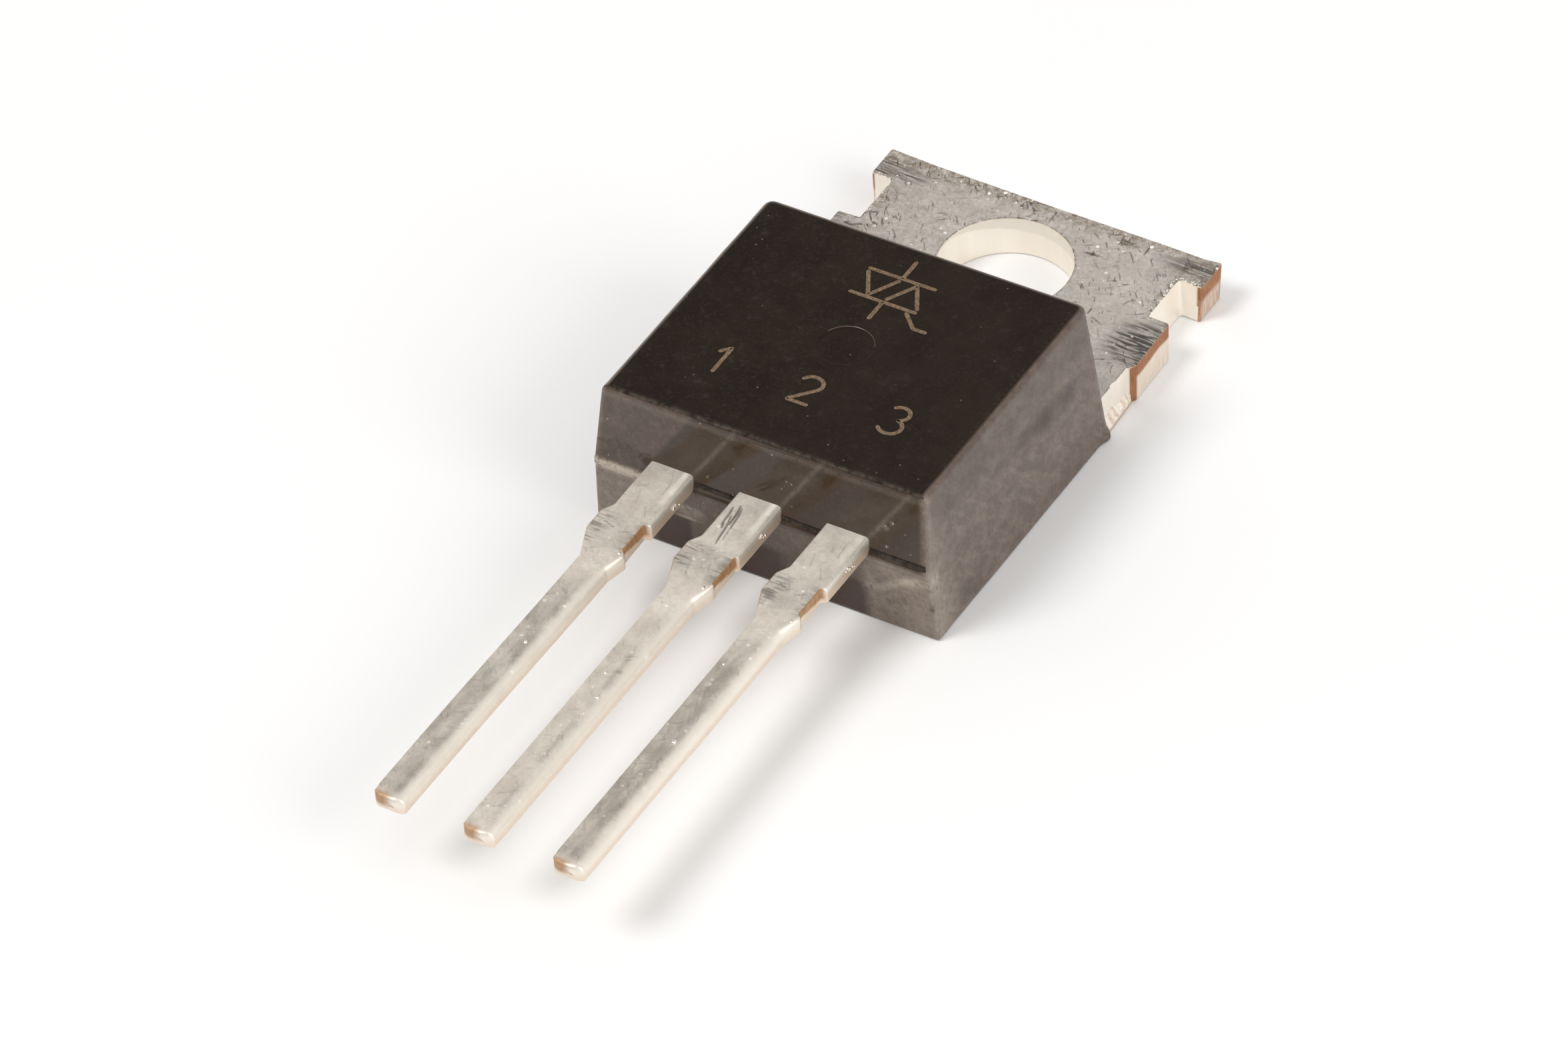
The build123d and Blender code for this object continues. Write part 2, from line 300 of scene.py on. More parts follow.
def edge_distance(points, loop):
    """Distance from each point to the nearest run of a closed loop."""
    nearest = np.full(len(points), np.inf)
    for a, b in zip(loop, np.roll(loop, -1, 0)):
        run = b - a
        t = np.clip(((points - a) @ run) / max(run @ run, 1e-12), 0, 1)
        nearest = np.minimum(nearest, np.linalg.norm(points - a - t[:, None] * run, axis=1))
    return nearest


def cap_net(loops, filling):
    """Flat triangle net between an outer loop and its holes, with extra points inside.

    The triangles number the loops' points first, in order, and then the filling's.
    """
    points = np.concatenate([*loops, filling])
    edges, start = [], 0
    for loop in loops:
        i = np.arange(len(loop))
        edges.append(np.stack([start + i, start + (i + 1) % len(loop)], -1))
        start += len(loop)
    edges = np.concatenate(edges).tolist()
    made = delaunay_2d_cdt([Vector(p) for p in points.tolist()], edges, [], 1, 1e-7)
    net, triangles = np.array([p[:] for p in made[0]]), np.array(made[2])
    order = np.array([sources[0] for sources in made[3]])
    centres = net[triangles].mean(1)
    keep = inside(centres, loops[0])
    for hole in loops[1:]:
        keep &= ~inside(centres, hole)
    return order[triangles[keep]]


NO_FILLING = np.empty((0, 2))


def grid_filling(loops, spacing, clearance, keep):
    """Staggered grid inside the outer loop, outside its holes, clear of every edge.

    Every second row is moved by half a spacing. `keep` tells which of the points are wanted.
    """
    low, high = loops[0].min(0), loops[0].max(0)
    x, y = np.meshgrid(np.arange(low[0], high[0], spacing), np.arange(low[1], high[1], spacing))
    x = x + np.where(np.arange(x.shape[0])[:, None] % 2, spacing / 2, 0)
    points = np.stack([x.ravel(), y.ravel()], -1)
    points = points[keep(points)]
    points = points[inside(points, loops[0])]
    for hole in loops[1:]:
        points = points[~inside(points, hole)]
    for loop in loops:
        points = points[edge_distance(points, loop) > clearance]
    return points


# ------------------------------------------------------------------ materials
class Tone:
    """Colours of dirt, dust and wear, and of painted shade and highlights, as linear red, green and
    blue.
    """

    haze = (0.046, 0.042, 0.040)
    cold_dust = (0.26, 0.28, 0.31)
    grey_dust = (0.20, 0.20, 0.20)
    pale_dust = (0.45, 0.43, 0.41)
    black_soot_and_shade = (0.018, 0.011, 0.008)
    brown_soot_and_shade = (0.030, 0.007, 0.001)
    dark_cloud = (0.030, 0.020, 0.014)
    dark_blotch = (0.040, 0.026, 0.020)
    pale_grain = (0.30, 0.26, 0.23)
    wiped = (0.045, 0.032, 0.024)
    smeared = (0.27, 0.225, 0.19)
    dull_tin = (0.17, 0.15, 0.13)
    mottled_tin = (0.36, 0.335, 0.30)
    hair_scratch = (0.10, 0.08, 0.065)
    pit = (0.14, 0.115, 0.095)
    rubbed_tin = (0.150, 0.142, 0.132)
    scored_tin = (0.042, 0.042, 0.040)
    brown_grime = (0.175, 0.124, 0.070)
    grey_grime = (0.155, 0.130, 0.108)
    scratch = (0.075, 0.058, 0.048)
    glint = (1.0, 0.97, 0.92)
    burnished_highlight = (1.0, 0.955, 0.88)
    fresh_tin = (1.0, 0.97, 0.90)
    cut_tin = ((0.95, 0.89, 0.80), (1.0, 0.95, 0.87))
    rosy_shear = ((0.61, 0.43, 0.32), (0.83, 0.70, 0.585))
    silicon = ((0.16, 0.17, 0.20), (0.26, 0.27, 0.31))
    solder = ((0.42, 0.42, 0.43), (0.6, 0.6, 0.6))
    aluminium = ((0.70, 0.70, 0.72), (0.84, 0.84, 0.86))
    paper = ((0.92, 0.935, 0.96), (0.94, 0.955, 0.98))


class Shader:
    """A small helper that builds a node material one step at a time."""

    def __init__(self, name):
        self.material = bpy.data.materials.new(name)
        self.material.use_nodes = True
        self.tree = self.material.node_tree
        self.place = self.node("ShaderNodeTexCoord").outputs["Object"]

    def node(self, kind, **settings):
        made = self.tree.nodes.new(kind)
        for key, value in settings.items():
            setattr(made, key, value)
        return made

    def put(self, socket, value):
        """Links a socket to a socket, or sets a plain value; a colour gets its fourth channel."""
        if isinstance(value, bpy.types.NodeSocket):
            self.tree.links.new(value, socket)
        elif value is not None:
            socket.default_value = (*value, 1) if socket.type == "RGBA" else value

    def stretched(self, scale, rotation=(0, 0, 0)):
        """The place, turned and then scaled on each axis."""
        mapping = self.node("ShaderNodeMapping", vector_type="TEXTURE")
        self.put(mapping.inputs["Vector"], self.place)
        mapping.inputs["Scale"].default_value = [1 / factor for factor in scale]
        mapping.inputs["Rotation"].default_value = rotation
        return mapping.outputs["Vector"]

    def noise(self, size, detail=3, rough=0.5, place=None):
        """Cloudy noise whose patches are about `size` millimetres across."""
        made = self.node("ShaderNodeTexNoise")
        self.put(made.inputs["Vector"], place or self.place)
        made.inputs["Scale"].default_value = 1 / (size * MM)
        made.inputs["Detail"].default_value = detail
        made.inputs["Roughness"].default_value = rough
        return made.outputs["Fac"]

    def ramp(self, value, low, high, start=0.0, end=1.0):
        """Smooth change from start to end while the value goes from low to high."""
        made = self.node("ShaderNodeMapRange", interpolation_type="SMOOTHSTEP", clamp=True)
        for key, number in zip(("Value", "From Min", "From Max", "To Min", "To Max"),
                               (value, low, high, start, end)):
            self.put(made.inputs[key], number)
        return made.outputs["Result"]

    def specks(self, size, core, rim, gate):
        """Round dots in cells `size` millimetres across, let through by a second share.

        A dot is full inside `core` and gone at `rim`, both in shares of the cell.
        """
        cells = self.node("ShaderNodeTexVoronoi")
        self.put(cells.inputs["Vector"], self.place)
        cells.inputs["Scale"].default_value = 1 / (size * MM)
        return self.times(self.ramp(cells.outputs["Distance"], core, rim, 1.0, 0.0), gate)

    def math(self, operation, first, second):
        made = self.node("ShaderNodeMath", operation=operation, use_clamp=operation == "MULTIPLY")
        self.put(made.inputs[0], first)
        self.put(made.inputs[1], second)
        return made.outputs["Value"]

    def times(self, first, second):
        """Product of two shares, held between 0 and 1."""
        return self.math("MULTIPLY", first, second)

    def plus(self, first, second):
        """Sum of two numbers."""
        return self.math("ADD", first, second)

    def less(self, first, second):
        """The first number less the second."""
        return self.math("SUBTRACT", first, second)

    def mix(self, share, first, second):
        """Colour mix: first where share is 0, second where it is 1."""
        made = self.node("ShaderNodeMix", data_type="RGBA")
        self.put(made.inputs["Factor"], share)
        self.put(made.inputs[6], first)
        self.put(made.inputs[7], second)
        return made.outputs[2]

    def clouded(self, noise, low, high, first, second):
        """Two tones clouded into each other: the second where the noise is above high."""
        return self.mix(self.ramp(noise, low, high), first, second)

    def cover(self, colour, tone, share, amount):
        """The colour under a tone that is laid on by a share times an amount."""
        return self.mix(self.times(share, amount), colour, tone)

    def painted(self, name):
        """A number stored on the mesh's vertices."""
        return self.node("ShaderNodeAttribute", attribute_name=name).outputs["Fac"]

    def bump(self, height, depth, below=None):
        """Relief of `depth` millimetres, laid over an earlier relief."""
        made = self.node("ShaderNodeBump")
        made.inputs["Distance"].default_value = depth * MM
        self.put(made.inputs["Height"], height)
        self.put(made.inputs["Normal"], below)
        return made.outputs["Normal"]

    def finish(self, colour, rough, normal=None, metallic=0.0, specular=0.5):
        """Sets the surface: links go to colour, roughness, metallic and normal only."""
        inputs = self.tree.nodes["Principled BSDF"].inputs
        self.put(inputs["Base Color"], colour)
        self.put(inputs["Roughness"], rough)
        self.put(inputs["Metallic"], metallic)
        self.put(inputs["Normal"], normal)
        inputs["Specular IOR Level"].default_value = specular
        return self.material


def toned(colour, gain=1.0):
    """A colour as a plain tuple, made lighter or darker by a gain."""
    return tuple(min(1.0, channel * gain) for channel in colour)


def epoxy_top_material(settings):
    """Dull black epoxy with a fine grain, pale dust and rubbed edges."""
    s = Shader("epoxy_marked_face")
    base = toned(settings.top_colour)
    colour = s.clouded(s.noise(1.3, 4, 0.6), 0.35, 0.7, toned(base, 0.75), toned(base, 1.25))
    grain = s.ramp(s.noise(0.09, 3, 0.7), 0.50, 0.75)
    colour = s.cover(colour, toned(base, 3.0), grain, 0.6)
    haze = s.times(s.ramp(s.noise(0.35, 4, 0.7), 0.56, 0.72), 0.35)
    colour = s.mix(haze, colour, Tone.haze)
    for size, tone in ((0.24, Tone.cold_dust), (0.40, Tone.grey_dust)):
        gate = s.ramp(s.noise(size * 1.5, 2, 0.6), 0.60, 0.65)
        colour = s.cover(colour, tone, s.specks(size, 0.02, 0.035 / size, gate), 0.8)
    edge = s.times(s.painted("edge_wear"), s.ramp(s.noise(0.20, 3, 0.65), 0.30, 0.66))
    colour = s.cover(colour, toned(settings.worn_and_lit_colour, 0.32), edge, 0.6)
    # Soot, with painted shade along the groove.
    colour = s.mix(s.painted("soot_and_shade"), colour, Tone.black_soot_and_shade)
    rough = s.ramp(s.noise(0.5, 3, 0.6), 0.3, 0.7, 0.62, 0.50)
    normal = s.bump(s.noise(0.045, 3, 0.65), 0.0030)
    normal = s.bump(s.noise(0.6, 2, 0.5), 0.006, normal)
    return s.finish(colour, rough, normal, specular=0.12)


def epoxy_side_material(settings):
    """Drafted faces: polished where the tool was smooth, dull and greyer where erosion roughened the
    tool, and where light is painted on.
    """
    s = Shader("epoxy_drafted_faces")
    eroded_and_painted_light = s.painted("eroded_and_painted_light")
    colour = s.mix(eroded_and_painted_light, toned(settings.side_colour), toned(settings.dull_colour))
    colour = s.mix(s.ramp(s.noise(0.75, 4, 0.6), 0.32, 0.70, 0.20, 0.0), colour, Tone.dark_cloud)
    blotch = s.ramp(s.noise(0.30, 4, 0.65), 0.38, 0.62, 0.36, 0.0)
    colour = s.cover(colour, Tone.dark_blotch, blotch, eroded_and_painted_light)
    grain = s.noise(0.10, 3, 0.7)
    colour = s.cover(colour, Tone.pale_grain, s.ramp(grain, 0.50, 0.72),
                     s.ramp(eroded_and_painted_light, 0.0, 1.0, 0.06, 0.24))
    dust = s.specks(0.26, 0.03, 0.17, s.ramp(s.noise(0.40, 2, 0.6), 0.60, 0.65))
    colour = s.cover(colour, Tone.pale_dust, dust, 0.55)
    wiped = s.noise(0.5, 4, 0.6, s.stretched((1.0, 0.16, 1.0), (0.05, 0.0, 0.0)))
    colour = s.mix(s.ramp(wiped, 0.46, 0.66, 0.0, 0.20), colour, Tone.wiped)
    smear = s.noise(0.20, 3, 0.6, s.stretched((1.0, 0.22, 1.0), (-0.75, 0.0, 0.0)))
    colour = s.cover(colour, Tone.smeared, s.ramp(smear, 0.47, 0.68, 0.0, 0.26), eroded_and_painted_light)
    # Brown soot, with painted shadows below the leads and painted shade left of the first lead and
    # along the groove.
    soot_and_shade_gate = s.ramp(s.noise(0.3, 3, 0.6), 0.10, 0.38)
    colour = s.cover(colour, Tone.brown_soot_and_shade, s.painted("soot_and_shade"), soot_and_shade_gate)
    # Rubbed wear, with painted light, painted reflections and painted highlights, laid on in the
    # colour of rubbed edges.
    worn_and_lit = s.times(s.painted("wear_and_painted_light"), s.ramp(s.noise(0.16, 4, 0.7), 0.25, 0.55))
    colour = s.mix(worn_and_lit, colour, toned(settings.worn_and_lit_colour))
    rough = s.ramp(eroded_and_painted_light, 0.0, 1.0, 0.055, 0.36)
    rough = s.plus(rough, s.ramp(s.noise(0.5, 3, 0.6), 0.3, 0.7, 0.0, 0.04))
    rough = s.plus(rough, s.ramp(worn_and_lit, 0.0, 1.0, 0.0, 0.25))
    normal = s.bump(s.noise(0.9, 3, 0.5), 0.004)
    normal = s.bump(grain, 0.0012, normal)
    return s.finish(colour, rough, normal)


def tin_material(name, settings, foot, wear):
    """Dull tin plate over copper: mottled, pitted, scratched and scuffed, bare on its cut faces.

    `foot` colours the part of a cut that tore, and on the leads also a painted shade on their lower
    sides; `wear` goes from 0, nearly clean, to 1, well handled.
    """
    s = Shader(name)
    tin, copper = toned(settings.tin_colour), toned(settings.copper_colour)
    clouds = s.noise(0.9, 4, 0.55)
    colour = s.clouded(clouds, 0.32, 0.70, toned(tin, 0.91), toned(tin, 1.07))
    fine = s.ramp(s.noise(0.11, 3, 0.6), 0.34, 0.68)
    colour = s.cover(colour, Tone.dull_tin, s.less(1.0, fine), 0.10 + 0.10 * wear)
    mottle = s.ramp(s.noise(0.42, 3, 0.6), 0.40, 0.66, 0.0, 0.20 - 0.06 * wear)
    colour = s.mix(mottle, colour, Tone.mottled_tin)
    dirt, scuff, scratch = s.painted("dirt"), s.painted("scuff"), s.painted("scratch")

    hairs = s.plus(s.ramp(s.noise(0.7, 3, 0.6), 0.42, 0.62, 0.0, 0.7), dirt)
    for angle, size in ((0.5, 0.095), (-0.9, 0.085), (1.9, 0.090)):
        line = s.noise(size, 1, 0.5, s.stretched((0.22, 1.0, 0.6), (0, 0, angle)))
        hair = s.times(s.ramp(line, 0.668, 0.690), hairs)
        colour = s.cover(colour, Tone.hair_scratch, hair, 0.10 + 0.75 * wear)
    pit = s.specks(0.15, 0.05, 0.28, s.ramp(s.noise(0.25, 3, 0.6), 0.55, 0.64))
    colour = s.cover(colour, Tone.pit, pit, 0.60 * wear)

    rubbed = s.noise(0.24, 4, 0.65, s.stretched((0.45, 1.0, 1.0)))
    rubbed = s.times(scuff, s.ramp(rubbed, 0.36, 0.60, 0.08, 0.62))
    colour = s.cover(colour, Tone.rubbed_tin, rubbed, wear)
    bands = s.ramp(s.noise(0.30, 2, 0.6, s.stretched((0.25, 1.0, 1.0))), 0.36, 0.54, 0.35, 1.0)
    streaks = s.noise(0.085, 1, 0.5, s.stretched((0.10, 1.0, 1.0), (0, 0, -0.04)))
    scored = s.times(s.times(scuff, bands), s.ramp(streaks, 0.460, 0.525))
    colour = s.cover(colour, Tone.scored_tin, scored, 0.88)

    if wear > 0.5:
        spread, grime = s.ramp(s.noise(0.20, 5, 0.70), 0.36, 0.62), Tone.brown_grime
    else:
        along = s.noise(0.34, 3, 0.5, s.stretched((1.0, 0.30, 1.0)))
        spread, grime = s.ramp(along, 0.25, 0.75, 0.35, 0.90), Tone.grey_grime
    patches = s.times(dirt, spread)
    colour = s.cover(colour, grime, patches, 0.75)
    colour = s.cover(colour, Tone.scratch, scratch, 0.9)

    glint = s.specks(0.26, 0.10, 0.27, s.ramp(s.noise(0.30, 2, 0.5), 0.545, 0.575))
    bright = s.plus(s.ramp(s.noise(0.9, 2, 0.5), 0.40, 0.65, 0.35, 0.9), dirt)
    glint = s.times(glint, bright)
    colour = s.cover(colour, Tone.glint, glint, wear)
    # Rubbed-bright strips with a painted highlight: pale and not metallic, so brighter than the tin.
    burnish_and_highlight = s.painted("burnish_and_highlight")
    colour = s.mix(burnish_and_highlight, colour, Tone.burnished_highlight)

    cut, bare = s.painted("cut"), s.painted("bare")
    pale = 0.90 + 0.115 * wear
    flow = s.noise(0.8, 2, 0.5, s.stretched((1.0, 1.0, 0.15)))
    wall = s.clouded(flow, 0.3, 0.7, *(toned(tone, pale) for tone in Tone.cut_tin))
    colour = s.mix(cut, colour, s.mix(s.painted("torn_and_shade"), wall, foot))
    shear = s.noise(0.05, 3, 0.6, s.stretched((1.0, 1.0, 0.10)))
    rosy = s.clouded(shear, 0.35, 0.7, *Tone.rosy_shear)
    colour = s.mix(s.painted("sheared"), colour, rosy)
    red = s.clouded(shear, 0.3, 0.7, toned(copper, 0.75), toned(copper, 1.10))
    colour = s.mix(bare, colour, red)

    rough = s.less(s.ramp(fine, 0.0, 1.0, 0.50, 0.40), s.times(cut, 0.04))
    rough = s.plus(rough, s.times(bare, 0.24))
    normal = s.bump(s.noise(0.08, 3, 0.6), 0.0010 + 0.0026 * wear)
    normal = s.bump(s.noise(0.35, 3, 0.55), 0.005, normal)
    normal = s.bump(s.plus(pit, scratch), -0.005 * wear, normal)
    normal = s.bump(glint, 0.010 * wear, normal)
    normal = s.bump(s.times(shear, cut), 0.003 * wear, normal)
    dull = s.less(1.0, s.math("MAXIMUM", glint, burnish_and_highlight))
    return s.finish(colour, rough, normal, s.times(s.ramp(patches, 0.2, 1.0, 0.72, 0.45), dull))


def mark_material(settings):
    """Epoxy that a laser has browned and roughened."""
    s = Shader("engraved_mark")
    base = settings.colour
    colour = s.clouded(s.noise(0.06, 3, 0.7), 0.35, 0.7, toned(base, 0.50), toned(base, 1.10))
    return s.finish(colour, 0.8, s.bump(s.noise(0.03, 2, 0.6), 0.003), specular=0.2)


def clouded_metal(name, noise, tones, rough, relief, depth, metallic=1.0):
    """A plain finish in two tones; `noise` and `relief` are size, detail and roughness."""
    s = Shader(name)
    colour = s.clouded(s.noise(*noise), 0.3, 0.7, *tones)
    return s.finish(colour, rough, s.bump(s.noise(*relief), depth), metallic)


def wire_material():
    """Drawn aluminium, finely lined along the wire."""
    s = Shader("aluminium_wire")
    drawn = s.noise(0.04, 2, 0.5, s.stretched((1.0, 0.2, 1.0)))
    colour = s.clouded(drawn, 0.3, 0.7, *Tone.aluminium)
    return s.finish(colour, 0.3, s.bump(drawn, 0.002), metallic=1.0)


def paper_material():
    """The pale matt floor."""
    s = Shader("pale_paper")
    tone = s.clouded(s.noise(40.0, 2, 0.5), 0.3, 0.7, *Tone.paper)
    return s.finish(tone, 0.9, specular=0.1)


# ------------------------------------------------------------------ moulded body
class AddBody(bpy.types.Operator):
    """Adds the moulded body: drafted walls, rounded top edge, parting lip and ejector mark"""

    bl_idname = "triac.add_body"
    bl_label = "Moulded body"

    half_width_low: FloatProperty(name="Half width at the seat", default=5.00)
    half_width_high: FloatProperty(name="Half width at the top", default=4.69)
    edge_radius: FloatProperty(name="Top edge radius", default=0.16)
    front_share: FloatProperty(name="Share of the radius at the front", default=0.40)
    corner_radius: FloatProperty(name="Rear corner radius", default=0.28)
    front_corner_radius: FloatProperty(name="Front corner radius", default=0.05)
    mark_radius: FloatProperty(name="Ejector mark radius", default=0.73)
    mark_depth: FloatProperty(name="Ejector mark depth", default=0.03)
    groove_height: FloatProperty(name="Height of the seam's groove", default=2.42)
    flash_reach: FloatProperty(name="Reach of the flash at the rear corners", default=0.095)

    front_heights = (0.0, 2.08, 2.13, 2.31, 2.36, 4.46)
    front_places = (-12.14, -12.27, -12.32, -12.32, -12.27, -11.89)
    rear_heights = (0.0, 4.46)
    rear_places = (-3.34, -3.70)
    front_limit = -11.6     # everything nearer the leads than this is the front wall
    mark_y = -7.80
    mark_rings = (-0.08, -0.03, -0.015, 0, 0.015, 0.03, 0.08)
    seat_gap = 0.015
    mark_clearance = 0.006
    roll_rings = 9
    front_steps, flank_steps, rear_steps = 240, 110, 120

    # Wear on the front wall: (centre x, centre z, reach, tone).
    specks = (
        (3.60, 3.22, 0.17, 0.32), (3.76, 3.41, 0.09, 0.45), (3.42, 3.12, 0.12, 0.16),
        (3.66, 2.70, 0.08, 0.35), (-1.54, 2.87, 0.06, 0.30), (0.95, 4.28, 0.10, 0.10),
    )
    lead_reflection_feet = (-1.92, 0.62, 3.16)     # x where the painted reflections of the leads' right edges start
    # Painted shade: dark scalloped blobs left of the first lead, above the parting lip: (centre x,
    # centre z, reach).
    shaded_scallops = (
        (-4.62, 2.66, 0.26), (-4.26, 2.76, 0.27), (-3.93, 2.75, 0.25), (-3.62, 2.68, 0.24),
        (-3.30, 2.66, 0.28),
    )
    # Painted shadows below the leads, as dark squares: (lead's x, softness).
    squares = ((-2.54, 0.10), (0.0, 0.35), (2.54, 0.25))

    def perimeter(self):
        """Places round a unit block: u runs -1..1 across, v runs 0..1 from front to rear."""
        across = np.linspace(-1, 1, self.front_steps, endpoint=False)
        along = np.linspace(0, 1, self.flank_steps, endpoint=False)
        back = np.linspace(1, -1, self.rear_steps, endpoint=False)
        u = np.concatenate([across, np.ones(len(along)), back, -np.ones(len(along))])
        v = np.concatenate([np.zeros(len(across)), along, np.ones(len(back)), 1 - along])
        return u, v

    def half_width(self, z):
        """Half width of the block at height z: a straight draft from seat to top."""
        return np.interp(z, (0, BODY_HIGH[2]), (self.half_width_low, self.half_width_high))

    def ring(self, z, inset):
        """One closed ring of the wall at height z, drawn in by `inset` from the drafted faces.

        A corner is rounded by moving each point of its square, seen from the arc's centre, from
        the square's edge to the circle: scale by the larger coordinate over the distance.
        """
        u, v = self.perimeter()
        half = self.half_width(z) - inset
        front = np.interp(z, self.front_heights, self.front_places) + inset * self.front_share
        rear = np.interp(z, self.rear_heights, self.rear_places) - inset
        x, y = u * half, front + v * (rear - front)
        corners = (
            (rear, 1, max(self.corner_radius - inset, 0.01)),
            (front, -1, max(self.front_corner_radius - inset, 0.005)),
        )
        for side in (-1, 1):
            for edge, direction, radius in corners:
                a = (x * side - (half - radius)) / radius
                b = ((y - edge) * direction + radius) / radius
                near = (a > 0) & (b > 0)
                a, b = a[near], b[near]
                shrink = np.maximum(a, b) / np.hypot(a, b)
                x[near] = side * (half - radius + radius * a * shrink)
                y[near] = edge + direction * (radius * b * shrink - radius)
        return np.stack([x, y, np.full(len(x), z)], -1)

    def rings(self, top):
        """All rings from the seat to the marked face, close together at the seam.

        Over the top edge the inset follows r - r*cos(a) while the height follows r*sin(a).
        """
        roll = self.edge_radius
        walls = np.concatenate([
            [self.seat_gap, 0.03, 0.07], np.arange(0.13, 1.95, 0.07), np.arange(1.98, 2.64, 0.02),
            np.arange(2.65, 3.05, 0.03), np.arange(3.09, top - roll - 0.03, 0.07),
        ])
        angles = np.linspace(0, np.pi / 2, self.roll_rings)
        heights = np.concatenate([walls, top - roll + roll * np.sin(angles)])
        insets = np.zeros(len(heights))
        insets[:2] = 0.03, 0.008
        insets[len(walls):] = roll - roll * np.cos(angles)
        return np.stack([self.ring(z, inset) for z, inset in zip(heights, insets)])

    def groove(self, x, z):
        """Depth share of the seam's groove, which lies between the leads and to their right."""
        between = bump_at(np.abs(x) - 1.27, 0, 0.66) * 5
        beside = rise(x, 3.12, 3.20) * fall(x, 4.62, 4.80)
        return np.clip(between + beside, 0, 1) * bump_at(z, self.groove_level(x), 0.075)

    def groove_level(self, x):
        """Height of the groove, which sinks from left to right with small waves."""
        sink = 0.11 * fall(x, -2.0, 3.0)
        return self.groove_height + sink + 0.012 * ripple(x, 0, 1.4, 3)

    def fold_line(self, x):
        """Height of the pale fold that climbs to the right of the third lead."""
        return 1.12 + 0.80 * rise(x, 3.0, 4.7) + 0.05 * ripple(x, 0, 0.8, 22)

    def shape_walls(self, points):
        """Cuts the groove, roughens the lip, the chip and the fold, and adds the rear flash."""
        x, y, z = points.T.copy()
        front = (y < self.front_limit).astype(float)
        lip = bump_at(z, 2.22, 0.12) * front
        chip = blot(x, z, (-2.2, 1.45), (1.1, 0.30), 0.3, 0.4) * front
        fold = bump_at(z, self.fold_line(x), 0.12) * rise(x, 2.75, 3.0) * front
        side = (np.abs(x) > 4.6) * (1 - front)
        points[:, 1] += 0.055 * self.groove(x, z) * front + 0.025 * chip
        points[:, 1] += lip * 0.018 * (ripple(x, z * 0.3, 0.9, 5) + 0.4) + 0.02 * fold
        points[:, 1] += front * 0.006 * (ripple(x, z, 2.2, 11) + 1)
        points[:, 0] -= np.sign(x) * side * 0.008 * (ripple(y, z, 2.6, 9) + 1)
        flash = fall(z, 0.20, 0.32) * bump_at(y, -3.58, 0.42) * side
        points[:, 0] += np.sign(x) * flash * self.flash_reach

    def from_mark(self, points):
        """Distance of flat points from the ejector mark's centre."""
        return np.hypot(points[:, 0], points[:, 1] - self.mark_y)

    def marked_face(self, loop, top):
        """Points inside the top loop, with rings at the ejector mark, and their dished heights."""
        turn = turns(96)
        circles = np.concatenate([
            np.stack([radius * np.cos(turn), self.mark_y + radius * np.sin(turn)], -1)
            for radius in self.mark_radius + np.array(self.mark_rings)
        ])
        grid = grid_filling([loop], 0.10, 0.05,
                            lambda p: np.abs(self.from_mark(p) - self.mark_radius) > 0.12)
        filling = np.concatenate([circles, grid])
        rim = self.mark_radius
        dish = self.mark_depth * fall(self.from_mark(filling), rim - 0.02, rim + 0.02)
        inner = rise(edge_distance(filling, loop), 0, 0.6)
        sag = 0.003 * inner * (1 + ripple(filling[:, 0], filling[:, 1], 3.1, 2))
        return filling, top - dish - sag

    def execute(self, context):
        settings = context.scene.triac_body
        top = settings.height / MM - self.mark_clearance
        rings = self.rings(top)
        levels, around, _ = rings.shape
        points = rings.reshape(-1, 3)
        self.shape_walls(points)
        filling, heights = self.marked_face(rings[-1, :, :2], top)
        vertices = np.concatenate([points, np.column_stack([filling, heights])])

        wall_count = (levels - 1) * around
        triangles = cap_net([rings[-1, :, :2]], filling)
        cap = np.where(triangles < around, triangles + wall_count, triangles - around + len(points))
        seat = cap_net([rings[0, :, :2]], NO_FILLING)[:, ::-1]
        faces = tube_faces(levels, around) + cap.tolist() + seat.tolist()
        materials = [epoxy_side_material(settings), epoxy_top_material(settings)]
        piece = new_piece("epoxy_body", vertices, faces, materials, ["moulded_body"])

        slots = np.zeros(len(faces), np.int32)
        slots[:wall_count] = self.dull_walls(points.reshape(rings.shape))
        corner = np.maximum(triangles - around, 0)
        slots[wall_count:wall_count + len(cap)] = ~self.bright_rim(filling)[corner].all(1)
        piece.data.polygons.foreach_set("material_index", slots)
        self.paint(piece, vertices, len(points), top)
        return {"FINISHED"}

    def dull_walls(self, rings):
        """True for wall faces that share the marked face's material: the front roll, the groove."""
        levels, around, _ = rings.shape
        row, place = np.divmod(np.arange((levels - 1) * around), around)
        front_roll = (row >= levels - 5) & (place < self.front_steps)
        x, y, z = rings[:-1].reshape(-1, 3).T
        level = self.groove_level(x)
        in_groove = (np.abs(z + 0.01 - level) < 0.078) & (y < self.front_limit)
        return front_roll | (in_groove & (self.groove(x, level) > 0.02))

    def bright_rim(self, filling):
        """True for points on the rear half of the ejector mark's rim, which catches the light."""
        on_rim = np.abs(self.from_mark(filling) - self.mark_radius - 0.008) < 0.010
        return on_rim & (filling[:, 1] > self.mark_y + 0.25)

